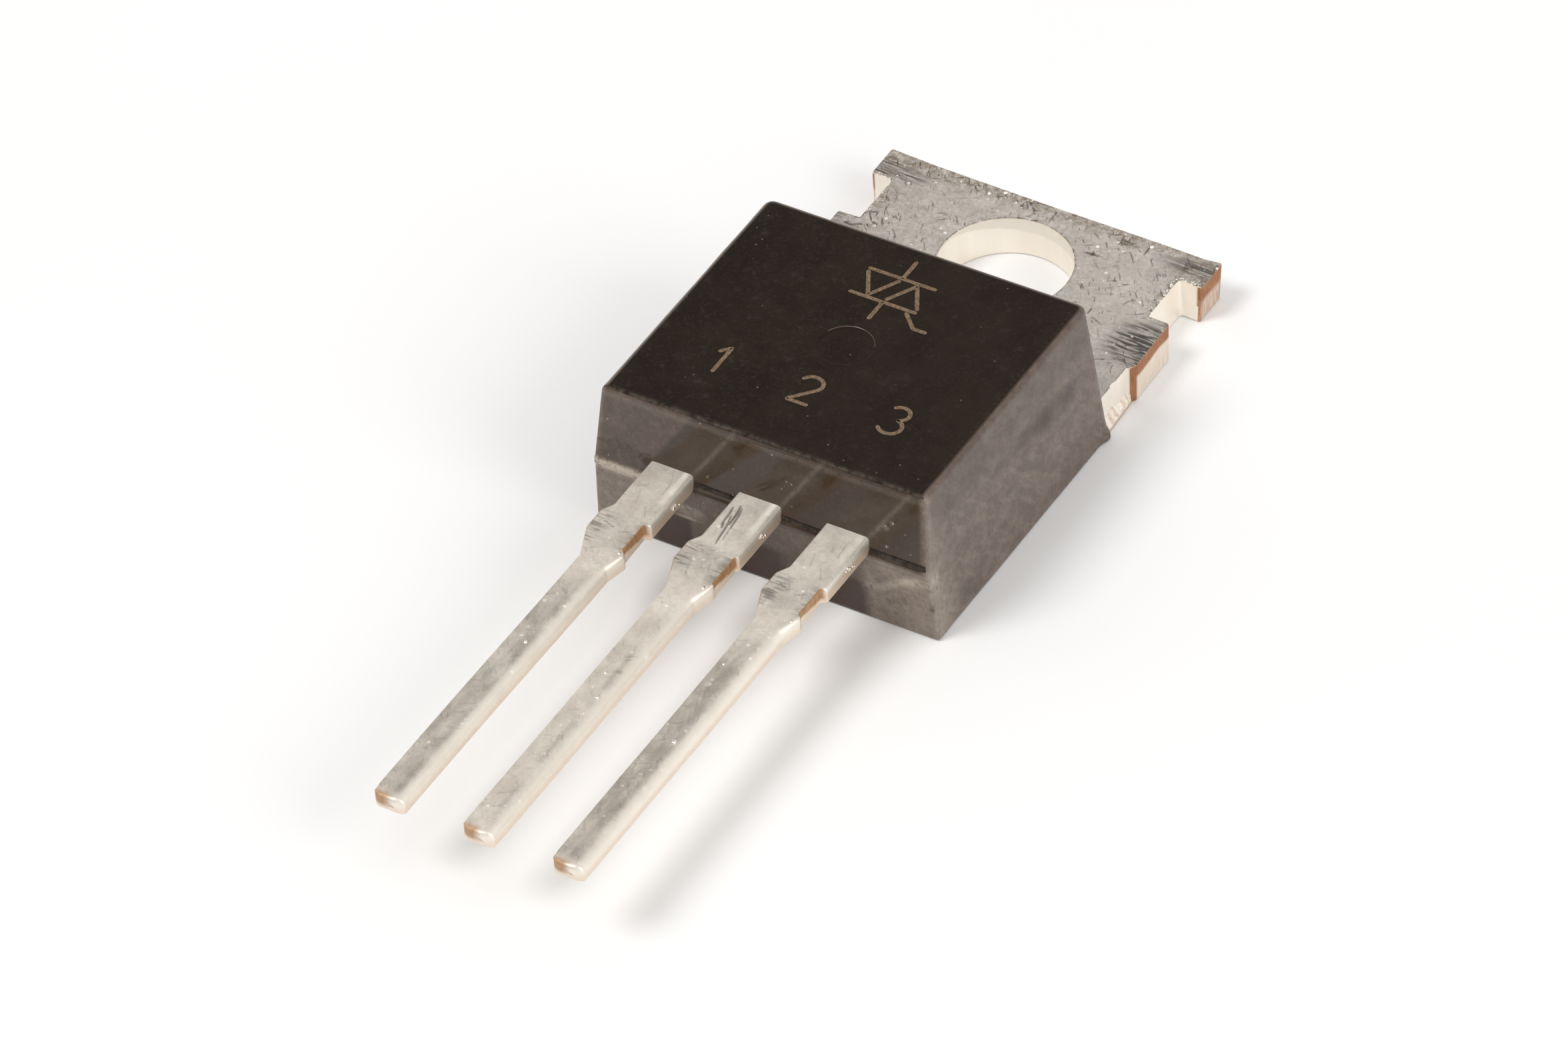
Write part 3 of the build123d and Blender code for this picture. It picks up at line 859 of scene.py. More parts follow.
    def front_wear_and_light(self, x, z, top, beside, lower):
        """Pale marks on the front wall: lip, chip, fold, patch, edges and specks, painted light low
        beside the leads and painted reflections of the leads' edges.
        """
        left_lip = np.clip(bump_at(z, 2.17, 0.23) * 2.0, 0, 1) * rise(-x, 3.0, 3.2)
        chip = blot(x, z, (-2.15, 1.52), (0.62, 0.30), 0.35, 0.6) * 0.40
        chip_line = bump_at(z, 1.27 + 0.03 * ripple(x, 0, 0.9, 21), 0.07)
        chip_line *= bump_at(x, -2.2, 0.60) * 0.8
        fold = bump_at(z, self.fold_line(x), 0.22) * rise(x, 2.7, 3.0) * 0.30
        patch = blot(x, z, (4.3, 1.74), (0.50, 0.22), 0.2, 0.9) * 0.30
        edge = bump_at(z, top - 0.20, 0.08) * 0.17
        corner = fall(self.half_width(z) - np.abs(x), 0.0, 0.10) * 0.14
        # The last term is painted light: the lower wall beside the leads is lighter.
        wear = left_lip + chip + chip_line + fold + patch + edge + corner + lower * beside * 0.22
        # Painted reflections of the leads' pale right edges, slanting up from each lead.
        for foot in self.lead_reflection_feet:
            lead_reflection = bump_at(x - 0.68 * (z - 2.80), foot, 0.13) * rise(z, 2.55, 2.90)
            wear = wear + 0.13 * lead_reflection * (1 - 0.4 * rise(z, 3.9, 4.4))
        for across, height, reach, tone in self.specks:
            wear = wear + tone * bump_at(np.hypot(x - across, (z - height) * 1.5), 0, reach)
        return wear

    def front_soot_and_shade(self, x, z, level):
        """Dark marks on the front wall: painted shade left of the first lead, a blotch by its root,
        painted shadows below the leads, notches, painted shade in the groove.
        """
        soot_and_shade = np.zeros(len(x))
        # Painted shade: scalloped dark blobs with darker rims, and a dark band below them, left of
        # the first lead.
        for centre, height, reach in self.shaded_scallops:
            away = np.hypot(x - centre, z - height)
            blob = 0.38 * fall(away, reach * 0.88, reach * 1.0)
            rim = 0.85 * bump_at(away, reach * 0.86, 0.075) * rise(z, height - 0.1, height + 0.1)
            soot_and_shade = np.maximum(soot_and_shade, np.maximum(blob, rim))
        under = bump_at(z, 2.46, 0.20) * rise(-x, 3.0, 3.2)
        soot_and_shade = np.maximum(soot_and_shade, under * 0.4) * rise(z, 2.31, 2.37)
        soot_and_shade *= 0.62 + 0.55 * ripple(x, z, 0.26, 23)
        # A dark blotch beside the first lead's root.
        root_blotch = blot(x, z, (-3.26, 2.70), (0.34, 0.24), 0.2, 0.8)
        soot_and_shade = np.maximum(soot_and_shade, root_blotch * rise(z, 2.33, 2.40))

        # Painted shadows: a dark square on the lower wall below each lead.
        shade = np.zeros(len(x))
        for centre, soft in self.squares:
            across = rise(x, centre - 0.95, centre - 0.80)
            across = across * fall(x, centre + 0.30, centre + 0.35 + 1.4 * soft)
            shade = np.maximum(shade, across * fall(z, 1.20 - soft / 2, 1.24 + soft / 2))
        notches = fall(self.half_width(z) - np.abs(x), 0.04, 0.16) * bump_at(z, 1.15, 0.95)
        notches *= rise(ripple(z, 0, 0.7, 33), -0.1, 0.35) * (x > 0) * 0.5
        # Painted shade along the groove.
        line = bump_at(z, level + 0.01, 0.13) * (self.groove(x, level) > 0.02)
        return soot_and_shade + 0.97 * shade + notches + np.clip(line * 1.3, 0, 0.36)

    def side_soot(self, x, y, z):
        """A ragged dark band along the right wall, and an even shade above it."""
        band = bump_at(z, 2.75 - 0.10 * (y + 6.5), 0.60) * bump_at(y, -6.2, 3.2)
        band *= 0.74 + 0.45 * ripple(y, z, 1.1, 47)
        return np.maximum(band, 0.30 * rise(z, 2.9, 3.6)) * (x > 0)

    def paint(self, piece, vertices, cap_first, top):
        """Stores where the epoxy is rubbed, sooty and dull from erosion, and where painted light,
        reflections, shadows and shade lie.
        """
        x, y, z = vertices.T
        on_cap = np.arange(len(vertices)) >= cap_first
        front = fall(y, -11.86, -11.70)
        level = self.groove_level(x)
        beside = np.clip(rise(-x, 3.15, 3.45) + rise(x, 2.7, 3.2), 0, 1)
        lower = fall(z, 2.12, 2.34)

        right = rise(np.abs(x), 4.42, 4.56) * on_cap
        front_rim = rise(-y, 11.76, 11.86) * (z > top - 0.2)
        in_groove = bump_at(z, level, 0.25) * (y < self.front_limit) * 0.75
        set_attribute(piece, "edge_wear", front_rim * 0.7 + right * 0.8 + in_groove)

        corner_rub = 0.08 + 0.28 * fall(z, 0.2, 3.0)
        rubbed = rise(-y, 10.7, 11.9) * (1 - front) * corner_rub
        on_front = front * self.front_wear_and_light(x, z, top, beside, lower)
        set_attribute(piece, "wear_and_painted_light", on_front + rubbed)

        soot_and_shade = front * self.front_soot_and_shade(x, z, level) + self.side_soot(x, y, z) * (1 - front)
        set_attribute(piece, "soot_and_shade", soot_and_shade)

        flank = fall(self.half_width(z) - np.abs(x), 0.03, 0.26) * ~on_cap
        side = np.maximum(flank, 1 - front) * (z < top - 0.01)
        # Painted reflection: the upper wall left of the first lead's mirrored image is lighter, along
        # a slanting edge.
        left = fall(x - 0.7 * (z - 2.9), -3.2, -3.0) * 0.40
        # Painted light: the lower wall is lighter, fully beside the leads and less between them,
        # where their shadows fall.
        on_front = front * np.maximum(lower * (0.56 + 0.44 * beside), left * (1 - lower))
        set_attribute(piece, "eroded_and_painted_light", np.maximum(side, on_front))


# ------------------------------------------------------------------ mounting tab
def stroke_tone(plan, strokes):
    """Darkness of thin strokes at each place: a soft-edged band round each straight run.

    A stroke is (start x, start y, end x, end y, half width, tone).
    """
    tone = np.zeros(len(plan))
    for x0, y0, x1, y1, half, depth in strokes:
        start, run = np.array([x0, y0]), np.array([x1 - x0, y1 - y0])
        t = np.clip((plan - start) @ run / (run @ run), 0, 1)
        sideways = np.array([-run[1], run[0]]) * 0.02 * np.sin(5.0 * t)[:, None]
        away = np.linalg.norm(plan - start - t[:, None] * run - sideways, axis=1)
        thin = half * (0.55 + 0.45 * np.sin(np.pi * t))
        tone = np.maximum(tone, depth * fall(away / thin, 0.5, 1.7))
    return tone


def ellipse(x, y, centre, reach, soft):
    """1 inside an upright ellipse, falling to 0 over the soft share of its reach."""
    away = np.hypot((x - centre[0]) / reach[0], (y - centre[1]) / reach[1])
    return fall(away, 1 - soft, 1)


def ellipses(x, y, table):
    """Sum of ellipses; each row is (centre, reach, soft share, tone)."""
    return sum(tone * ellipse(x, y, centre, reach, soft) for centre, reach, soft, tone in table)


class AddTab(bpy.types.Operator):
    """Adds the stamped tab: hole, notches, sheared ears, coined lip and its wear"""

    bl_idname = "triac.add_tab"
    bl_label = "Mounting tab"

    edge_roll: FloatProperty(name="Front edge radius", default=0.035)
    hole_roll: FloatProperty(name="Hole edge radius", default=0.015)
    edge_break: FloatProperty(name="Back edge radius", default=0.03)
    net_spacing: FloatProperty(name="Net spacing", default=0.035)
    shear_lean: FloatProperty(name="Lean of the sheared ear", default=0.10)
    lip_foot: FloatProperty(name="Height of the lip's upright edge", default=0.14)
    lip_crest: FloatProperty(name="Height of the lip's crest", default=0.44)

    # Corners of the plate, anticlockwise: (x, y, radius).
    outline = (
        (0.0, -10.2, 0), (4.07, -10.2, 0.12), (4.07, -4.3, 0), (4.35, -3.9, 0), (4.80, -3.6, 0.05),
        (4.80, -3.03, 0.06), (4.75, -2.90, 0.04), (4.80, -2.74, 0.06), (4.80, -2.18, 0.04),
        (4.89, -2.11, 0.04), (4.98, -1.95, 0.05), (4.94, -0.15, 0.07), (4.32, -0.13, 0.02),
        (4.32, 1.47, 0.13), (5.01, 1.43, 0.05), (5.01, 2.55, 0.07), (4.50, 2.49, 0.4),
        (3.30, 2.52, 1.0), (0.00, 2.54, 3.0), (-3.50, 2.60, 1.0), (-4.92, 2.68, 0.07),
        (-4.91, 1.60, 0.05), (-4.28, 1.57, 0.08), (-4.28, -0.10, 0.02), (-4.91, -0.12, 0.06),
        (-4.91, -2.04, 0.06), (-4.80, -2.13, 0.04), (-4.80, -3.6, 0.05), (-4.35, -3.9, 0),
        (-4.07, -4.3, 0), (-4.07, -10.2, 0.12),
    )
    lip_outline = ((-4.90, -2.14, 0), (-4.96, -3.7, 0), (4.97, -3.7, 0), (4.90, -2.14, 0))
    strokes = (
        (0.22, 1.90, 0.19, 2.36, 0.016, 0.8), (2.66, 1.84, 2.96, 1.54, 0.018, 0.9),
        (1.90, 1.92, 2.06, 1.74, 0.018, 0.8), (3.02, 2.26, 3.05, 1.92, 0.026, 0.9),
        (2.86, -0.52, 2.88, -0.76, 0.020, 1.0), (3.00, -0.84, 3.42, -0.97, 0.015, 0.8),
        (2.74, 0.62, 3.10, 0.10, 0.011, 0.5), (-2.05, 1.05, -1.86, 0.80, 0.018, 0.8),
        (-2.68, 0.42, -2.60, 0.18, 0.018, 0.7), (-3.62, 2.33, -3.42, 2.08, 0.016, 0.8),
        (-1.55, 2.34, -1.40, 2.14, 0.020, 0.8), (1.46, 2.10, 1.72, 1.94, 0.017, 0.8),
        (1.10, 2.32, 1.26, 2.02, 0.015, 0.7), (-0.62, 2.42, -0.40, 2.20, 0.016, 0.7),
        (3.52, -0.02, 3.60, 0.20, 0.018, 0.8), (3.78, 0.42, 4.02, 0.12, 0.014, 0.7),
        (-3.92, 0.52, -3.60, 0.28, 0.012, 0.6), (-3.30, -0.12, -3.02, -0.38, 0.014, 0.7),
        (-2.30, -0.22, -2.10, -0.46, 0.016, 0.7), (3.20, 1.30, 3.42, 1.12, 0.012, 0.6),
        (2.02, 1.36, 1.62, 1.30, 0.040, 0.6), (3.62, 1.98, 3.36, 2.14, 0.015, 0.7),
        (-4.02, 1.30, -3.80, 1.06, 0.014, 0.6), (-2.95, 1.80, -2.70, 1.62, 0.012, 0.6),
    )
    # Wear on the front face: (centre, reach, soft share, tone), at the middle and rear ears.
    scuffs = (
        ((4.90, -1.20), (1.45, 1.12), 0.50, 1.0), ((-4.9, -0.75), (1.05, 0.80), 0.6, 1.0),
        ((5.0, 2.00), (1.9, 0.50), 0.7, 0.85), ((-5.0, 1.92), (1.95, 0.46), 0.6, 1.2),
    )
    smudges = (((2.42, 2.12), (0.42, 0.20), 0.6, 1.0), ((1.85, 1.34), (0.36, 0.09), 0.7, 1.0))
    # Dirt beside the right notch, beside the left notch, and on the right rear ear.
    dirt = (
        ((4.36, 0.65), (0.36, 1.15), 0.7, 0.9), ((-4.20, 0.9), (0.42, 0.95), 0.8, 0.55),
        ((4.6, 1.75), (0.9, 0.5), 0.8, 0.6),
    )
    body_edge = -3.9        # the plate goes into the moulding in front of this
    flank_x = 4.8           # the coined lip's outer faces lie outside this
    hole_steps = 180
    wall_rings = 25
    most_sag = 0.0125       # deeper than this below the front face is wall

    def wall(self, loop, thickness, roll, lean):
        """Rings up a stamped wall: broken back edge, straight wall, then the front edge.

        The inset follows r - r*cos(a) while the height follows r*sin(a) at the front edge.
        `lean` says how far the wall's foot lies inside the loop, for each of its points.
        """
        a = np.linspace(0, np.pi / 2, 5)
        back, low = a[::-1][:-1], self.edge_break
        heights = np.concatenate([
            low - low * np.sin(back), np.linspace(low, thickness - roll, self.wall_rings),
            thickness - roll + roll * np.sin(a[1:])])
        insets = np.concatenate([
            low - low * np.cos(back), np.zeros(self.wall_rings), roll - roll * np.cos(a[1:])])
        places = loop[None] - outward(loop)[None] * insets[:, None, None]
        places[..., 0] -= lean[None] * (1 - heights / thickness)[:, None]
        level = np.broadcast_to(heights[:, None, None], (*places.shape[:2], 1))
        return np.concatenate([places, level], -1)

    def ear_lean(self, loop):
        """How far the back edge of each sheared ear lies inside its front edge."""
        x, y = loop.T
        return self.shear_lean * rise(x, 4.6, 5.0) * np.where(y > 1.3, 1.0, 0.4 * (y < 0))

    def execute(self, context):
        settings = context.scene.triac_tab
        thickness = settings.thickness / MM
        loop = closed_outline(self.outline, 0.05)
        turn = turns(self.hole_steps)
        hole = settings.hole_radius / MM * np.stack([np.cos(-turn), np.sin(-turn)], -1)
        outer = self.wall(loop, thickness, self.edge_roll, self.ear_lean(loop))
        inner = self.wall(hole, thickness, self.hole_roll, np.zeros(len(hole)))
        levels, n_out, n_in = len(outer), len(loop), len(hole)
        points = np.concatenate([outer.reshape(-1, 3), inner.reshape(-1, 3)])

        def cap(level, filling):
            """Triangles between the outline and the hole at one level."""
            made = cap_net([outer[level, :, :2], inner[level, ::-1, :2]], filling)
            names = np.concatenate([
                level * n_out + np.arange(n_out),
                levels * n_out + level * n_in + np.arange(n_in)[::-1],
                len(points) + np.arange(len(filling))])
            return names[made]

        filling = grid_filling([outer[-1, :, :2], inner[-1, ::-1, :2]], self.net_spacing, 0.025,
                               lambda p: p[:, 1] > self.body_edge)
        sag = 0.004 * (1 + ripple(filling[:, 0], filling[:, 1], 2.7, 31))
        sag *= rise(edge_distance(filling, loop), 0.05, 0.6)
        plate = np.concatenate([points, np.column_stack([filling, thickness - sag])])
        lip, lip_faces = self.coined_lip(len(plate))
        faces = tube_faces(levels, n_out) + tube_faces(levels, n_in, levels * n_out)
        faces += cap(levels - 1, filling).tolist()
        faces += cap(0, NO_FILLING)[:, ::-1].tolist() + lip_faces
        vertices = np.concatenate([plate, lip])
        material = tin_material("tinned_tab", settings, foot=(0.86, 0.81, 0.73), wear=0.85)
        piece = new_piece("tab_plate", vertices, faces, [material], ["heatsink_tab"])
        on_lip = np.arange(len(vertices)) >= len(plate)
        front_face = (vertices[:, 2] > thickness - self.most_sag) & ~on_lip
        self.paint_edges(piece, vertices, 1.0 - front_face, on_lip, thickness)
        self.paint_face(piece, vertices, front_face, loop, settings.hole_radius / MM)
        return {"FINISHED"}

    def fan(self, y):
        """Broken facets along the coined lip: the size of a bent sine, sharp at its valleys."""
        bent = y + 0.16 * ripple(y, 0, 0.95, 43)
        return np.abs(np.sin(np.pi * bent / 0.26)) ** 0.6 * (0.72 + 0.55 * ripple(y, 0, 0.55, 45))

    def coined_lip(self, first):
        """The coined lip beside the body: an upright foot, then a fan of facets up to a crest."""
        loop = closed_outline(self.lip_outline, 0.015)
        x, y = loop.T
        flank = (np.abs(x) > self.flank_x).astype(float)
        fan = self.fan(y)

        def level(inward, z):
            """One ring: the loop with its flanks moved inward, at height z."""
            return np.column_stack([x - np.sign(x) * flank * inward, y, z])

        foot = level(0.02, np.zeros(len(x)))
        rings = [foot, foot + (0, 0, 0.07)]
        for share in np.linspace(0, 1, 9):
            tear = 0.045 * ripple(y, share, 0.4, 41) - 0.020
            inward = 0.17 * share ** 1.3 + 0.030 * fan * np.sin(np.pi * share)
            z = self.lip_foot + (self.lip_crest - self.lip_foot) * share
            z = z + 0.05 * ripple(y, 0, 0.6, 44) * share * flank
            rings.append(level(inward - tear * (1 - share), z))
        rings = np.stack(rings)
        around = len(loop)
        flat = cap_net([loop], NO_FILLING)
        top = flat + first + (len(rings) - 1) * around
        faces = tube_faces(len(rings), around, first) + top.tolist()
        return rings.reshape(-1, 3), faces + (flat[:, ::-1] + first).tolist()

    def paint_edges(self, piece, vertices, wall, on_lip, thickness):
        """Stores where the plate's stamped walls are cut, torn, bare and sheared."""
        x, y, z = vertices.T
        set_attribute(piece, "cut", wall)

        from_axis = np.hypot(x, y)
        facing = np.clip((0.17 * x + 0.98 * y) / np.maximum(from_axis, 0.1), 0, 1)
        depth = 0.10 + 0.34 * facing + 0.02 * ripple(x, y, 0.7, 37)
        in_hole = rise(z, thickness - depth - 0.02, thickness - depth + 0.02) * (from_axis < 1.9)
        ragged = 0.05 * ripple(x + y, 0, 0.8, 35)
        behind = 0.8 * rise(y, 2.2, 2.4) * fall(z + ragged, 0.30, 0.38)
        set_attribute(piece, "torn_and_shade", wall * np.maximum(in_hole, behind))

        ear = (np.abs(x) > 4.86) & (y > -2.2) & ~on_lip
        rear, middle = ear & (y > 1.40), ear & (y < 0)
        rear_bare = np.maximum(
            rise(z + ragged, 0.55, 0.80), 0.8 * rise(np.abs(y - 1.98), 0.38, 0.55))
        middle_bare = np.maximum(rise(z + ragged, 0.74, 0.86), rise(-y, 1.92, 1.97))
        set_attribute(piece, "bare", wall * (rear * rear_bare + middle * middle_bare))

        lip_side = on_lip & (z < self.lip_foot) & (np.abs(x) > self.flank_x)
        valley = np.clip(1.15 - 1.5 * self.fan(y) + 0.5 * ripple(y, z, 0.16, 46), 0, 0.85)
        valley *= on_lip * (z > self.lip_foot) * (np.abs(x) > 4.6)
        upright = rear * 0.95 + middle * 0.42 + lip_side * 0.9
        set_attribute(piece, "sheared", wall * np.maximum(upright, valley))

    def paint_face(self, piece, vertices, top, loop, hole_radius):
        """Stores where the front face is scuffed, dirty and scratched."""
        plan = vertices[:, :2]
        x, y = plan.T
        set_attribute(piece, "scuff", top * ellipses(x, y, self.scuffs))

        smudge = ellipses(x, y, self.smudges)
        left_half = 0.16 * rise(-x, 0.5, 4.5)
        at_rear = rise(y, 1.95, 2.50) * 0.95
        hole_edge = bump_at(np.hypot(x, y), hole_radius, 0.07)
        edge = fall(edge_distance(plan, loop), 0.0, 0.06) * 0.55
        dirt = 0.20 + left_half + at_rear + ellipses(x, y, self.dirt) + smudge + edge + hole_edge
        set_attribute(piece, "dirt", top * dirt)
        set_attribute(piece, "burnish_and_highlight", np.zeros(len(x)))

        scratch = stroke_tone(plan, self.strokes) + 0.8 * smudge * (ripple(x, y, 0.12, 36) > 0.1)
        set_attribute(piece, "scratch", top * scratch)


# ------------------------------------------------------------------ leads
class AddLeads(bpy.types.Operator):
    """Adds the three stamped leads, with cut dam-bar stubs, tapered shoulders and worn tips"""

    bl_idname = "triac.add_leads"
    bl_label = "Leads"

    root_radius: FloatProperty(name="Upper right edge radius at the root", default=0.11)
    stub_radius: FloatProperty(name="Upper right edge radius at the cut", default=0.035)
    shank_radius: FloatProperty(name="Upper right edge radius of the shank", default=0.30)
    left_radius: FloatProperty(name="Upper left edge radius", default=0.045)
    low_radius: FloatProperty(name="Lower edge radius", default=0.05)
    tip_radius: FloatProperty(name="Tip edge radius", default=0.10)
    tip_chamfer: FloatProperty(name="Tip chamfer", default=0.12)

    start = -12.0
    tip = -25.60
    thickness = 0.50
    cut_ends = (-15.46, -14.33)
    # Half widths of either side, as (y, half width) from the tip to the root.
    left_widths = ((-25.6, 0.44), (-15.98, 0.44), (-15.02, 0.82), (-14.33, 0.82), (-14.0, 0.62),
                   (-12.0, 0.62))
    right_widths = ((-25.6, 0.44), (-16.12, 0.44), (-15.46, 0.61), (-14.34, 0.59),
                    (-14.29, 0.62), (-12.0, 0.62))
    left_rounding, right_rounding = 0.05, 0.02
    centre_strokes = (
        (-0.45, -12.75, -0.36, -13.45, 0.030, 0.8), (-0.30, -12.62, -0.18, -13.35, 0.034, 0.85),
        (-0.22, -12.70, -0.08, -13.50, 0.026, 0.8), (-0.33, -13.05, -0.12, -14.10, 0.028, 0.85),
        (-0.40, -13.30, -0.30, -13.55, 0.034, 0.8), (-0.12, -13.50, -0.05, -13.90, 0.018, 0.6),
    )
    side_strokes = (
        (0.22, -12.60, 0.30, -13.20, 0.014, 0.35), (0.10, -13.70, 0.34, -14.10, 0.014, 0.4),
        (-0.30, -13.30, -0.16, -13.75, 0.012, 0.35), (0.30, -14.70, 0.05, -14.84, 0.018, 0.5),
        (-0.62, -14.62, -0.20, -14.74, 0.020, 0.6), (-0.66, -15.00, -0.34, -15.04, 0.018, 0.5),
    )
    # What differs from lead to lead, for leads 1, 2 and 3.
    stub_recess = (0.14, 0.04, 0.11)
    bare_tone = (1, 1, 0.94)
    crease_tone = (0.30, 0.35, 0.6)
    shank_grime = (0.74, 0.28, 0.98)
    shoulder_grime = (0.35, 0.45, 0.45)
    root_grime = (0.10, 0.02, 0.03)
    strip_shine = (0.75, 0.75, 0.35)
    root_shine = (0.05, 0.20, 0.25)

    def at_cut(self, y, before, after):
        """1 along the cut stub, between soft ends that reach `before` and `after` its corners."""
        low, high = self.cut_ends
        return rise(y, low - before, low + after) * fall(y, high - before, high + after)

    def recess(self, y, number):
        """How far the cut stub on the right lies inside the table's half width."""
        low, high = self.cut_ends
        depth = self.stub_recess[number - 1]
        return depth * rise(y, low - 0.10, low + 0.12) * fall(y, high - 0.02, high + 0.02)

    def width(self, table, y, round_by):
        """Half width at y: the straight-run table, averaged over a short window to round it."""
        at, width = np.array(table).T
        window = np.linspace(-round_by, round_by, 9)
        return np.interp(y[:, None] + window, at, width).mean(1)

    def execute(self, context):
        settings = context.scene.triac_leads
        pitch = settings.pitch / MM
        # On the leads the foot's tan is also a painted shade on their lower sides.
        material = tin_material("tinned_lead", settings, foot=(0.80, 0.655, 0.515), wear=0.12)
        replaced = ("main_terminal_1_lead", "heatsink_tab", "gate_lead")
        for number, node in enumerate(replaced, start=1):
            self.lead(number, (number - 2) * pitch, LEAD_TOP, material, node)
        return {"FINISHED"}

    def stations(self):
        """Places along the lead, from its root to its tip, and how far each is drawn in.

        The tip's edge follows r - r*cos(a) inward while the place follows r - r*sin(a).
        """
        end = np.linspace(0, np.pi / 2, 6)
        y = np.concatenate([
            np.arange(self.start, -16.6, -0.045), np.arange(-16.6, -25.2, -0.09),
            np.arange(-25.2, self.tip + self.tip_radius + 0.02, -0.03),
            self.tip + self.tip_radius * (1 - np.sin(end)), [self.tip] * 2])
        shrink = np.zeros(len(y))
        shrink[-8:] = [*(self.tip_radius * (1 - np.cos(end))), 0.14, 0.18]
        return y, shrink

    def section(self, left, right, high, low, left_r, right_r, low_r):
        """A rounded rectangle at each station: its x and its z, one row for each station.

        The points run from the top right to the left, down, back below and up the right side.
        """
        turn = np.linspace(0, np.pi / 2, 8)[None]
        upward = np.linspace(0, 1, 8)[None, 1:-1]
        across = np.linspace(1, -1, 47)[None]
        below = np.linspace(-1, 1, 13)[None, 1:-1]
        flat_x = np.where(across > 0, across * (right - right_r), across * (left - left_r))
        below_x = np.where(below > 0, below * (right - low_r), below * (left - low_r))
        left_z = low + low_r + upward * (high - left_r - low - low_r)
        right_z = low + low_r + upward * (high - right_r - low - low_r)
        x = np.concatenate([
            flat_x, -(left - left_r) - left_r * np.sin(turn[:, 1:]), -left + 0 * upward,
            -(left - low_r) - low_r * np.cos(turn), below_x, right - low_r + low_r * np.sin(turn),
            right + 0 * upward, right - right_r + right_r * np.cos(turn[:, :-1])], 1)
        z = np.concatenate([
            high + 0 * across, high - left_r + left_r * np.cos(turn[:, 1:]), left_z[:, ::-1],
            low + low_r - low_r * np.sin(turn), low + 0 * below, low + low_r - low_r * np.cos(turn),
            right_z, high - right_r + right_r * np.sin(turn[:, :-1])], 1)
        return x, z

    def lead(self, number, centre, top, material, node):
        """Carries a rounded rectangle along the lead and closes both ends."""
        y, shrink = self.stations()
        taper = np.clip(self.tip_chamfer - (y - self.tip), 0, None) + shrink
        left = self.width(self.left_widths, y, self.left_rounding) - taper
        right = self.width(self.right_widths, y, self.right_rounding) - taper
        right = right - self.recess(y, number)
        at_cut = self.at_cut(y, 0.02, 0.02)
        droop = 0.05 * rise(-y, 25.1, 25.7)
        high = top - shrink - droop
        low = top - self.thickness + shrink
        most = 0.45 * np.minimum(high - low, np.minimum(left, right))
        on_shank = fall(y, -16.5, -15.5)
        right_r = self.root_radius + (self.shank_radius - self.root_radius) * on_shank
        right_r = right_r + (self.stub_radius - right_r) * at_cut
        right_r = np.minimum(right_r, np.minimum(0.75 * (high - low), 0.8 * right))
        left_r = np.minimum(self.left_radius, most)
        low_r = np.minimum(self.low_radius * (1 - 0.5 * at_cut), most)
        sizes = (left, right, high, low, left_r, right_r, low_r)
        x, z = self.section(*(size[:, None] for size in sizes))

        bend = 0.02 * ripple(y, number, 9.0, 50 + number)
        dent = 0.005 * (ripple(y[:, None], x * 2.0, 1.6, 60 + number) - 1)
        z = z + dent * rise(z, top - 0.25, top)
        rings = np.stack([x + bend[:, None] + centre, np.broadcast_to(y[:, None], x.shape), z], -1)

        levels, around, _ = rings.shape
        i = np.arange(around)
        j = (i + 1) % around
        last, count = (levels - 1) * around, levels * around
        faces = tube_faces(levels, around)
        faces += np.stack([j, i, np.full(around, count)], -1).tolist()
        faces += np.stack([last + i, last + j, np.full(around, count + 1)], -1).tolist()
        ends = np.array([rings[0].mean(0), rings[-1].mean(0)])
        vertices = np.concatenate([rings.reshape(-1, 3), ends])
        piece = new_piece(f"lead_{number}", vertices, faces, [material], [node])
        upright = fall(vertices[:, 2], top - 0.075, top - 0.008)
        self.paint_sides(piece, vertices - (centre, 0, 0), upright, top, number)
        self.paint_top(piece, vertices - (centre, 0, 0), 1 - upright, number)

    def paint_sides(self, piece, vertices, upright, top, number):
        """Stores where the lead's stamped sides are cut, bare and sheared, and where they tore, with
        a painted shade on their lower part.
        """
        x, y, z = vertices.T
        set_attribute(piece, "cut", upright * 0.85)
        # Painted shade: the lower part of each side is a darker tan, reaching higher and darker near
        # the root.
        near_root = rise(y, -15.8, -14.6)
        foot = fall(z, top - 0.40 + 0.18 * near_root, top - 0.16 + 0.02 * near_root)
        set_attribute(piece, "torn_and_shade", upright * foot * (0.8 + 0.2 * near_root))

        at_cut = self.at_cut(y, 0, 0.03)
        floor = top - 0.36 + 0.16 * np.clip((self.cut_ends[1] - y) / 0.95, 0, 1)
        face = 0.57 - self.recess(y, number)
        right = at_cut * rise(x, face - 0.01, face + 0.005)
        right *= rise(z, floor - 0.02, floor + 0.03) * self.bare_tone[number - 1]
        reach = self.width(self.left_widths, y, self.left_rounding)
        left = rise(-x, reach - 0.06, reach - 0.01) * rise(y, -15.9, -15.3)
        left *= fall(y, -14.1, -13.6) * 0.6
        tip = fall(y, -25.56, -25.34) * fall(x, -0.15, 0.20) * rise(z, top - 0.42, top - 0.26) * 0.9
        set_attribute(piece, "bare", right + left + tip)
        set_attribute(piece, "sheared", at_cut * rise(np.abs(x), 0.55, 0.6) * 0.25 * upright)

    def paint_top(self, piece, vertices, top, number):
        """Stores where the lead's upper face is scuffed, dirty, rubbed bright with a painted
        highlight, and scratched.
        """
        x, y, _ = vertices.T
        lead = number - 1
        shoulder = rise(y, -15.7, -15.2) * fall(y, -14.6, -14.1)
        near_edge = rise(np.abs(x), 0.15, 0.55)
        set_attribute(piece, "scuff", np.clip(shoulder * near_edge * 0.60, 0, 1) * top)

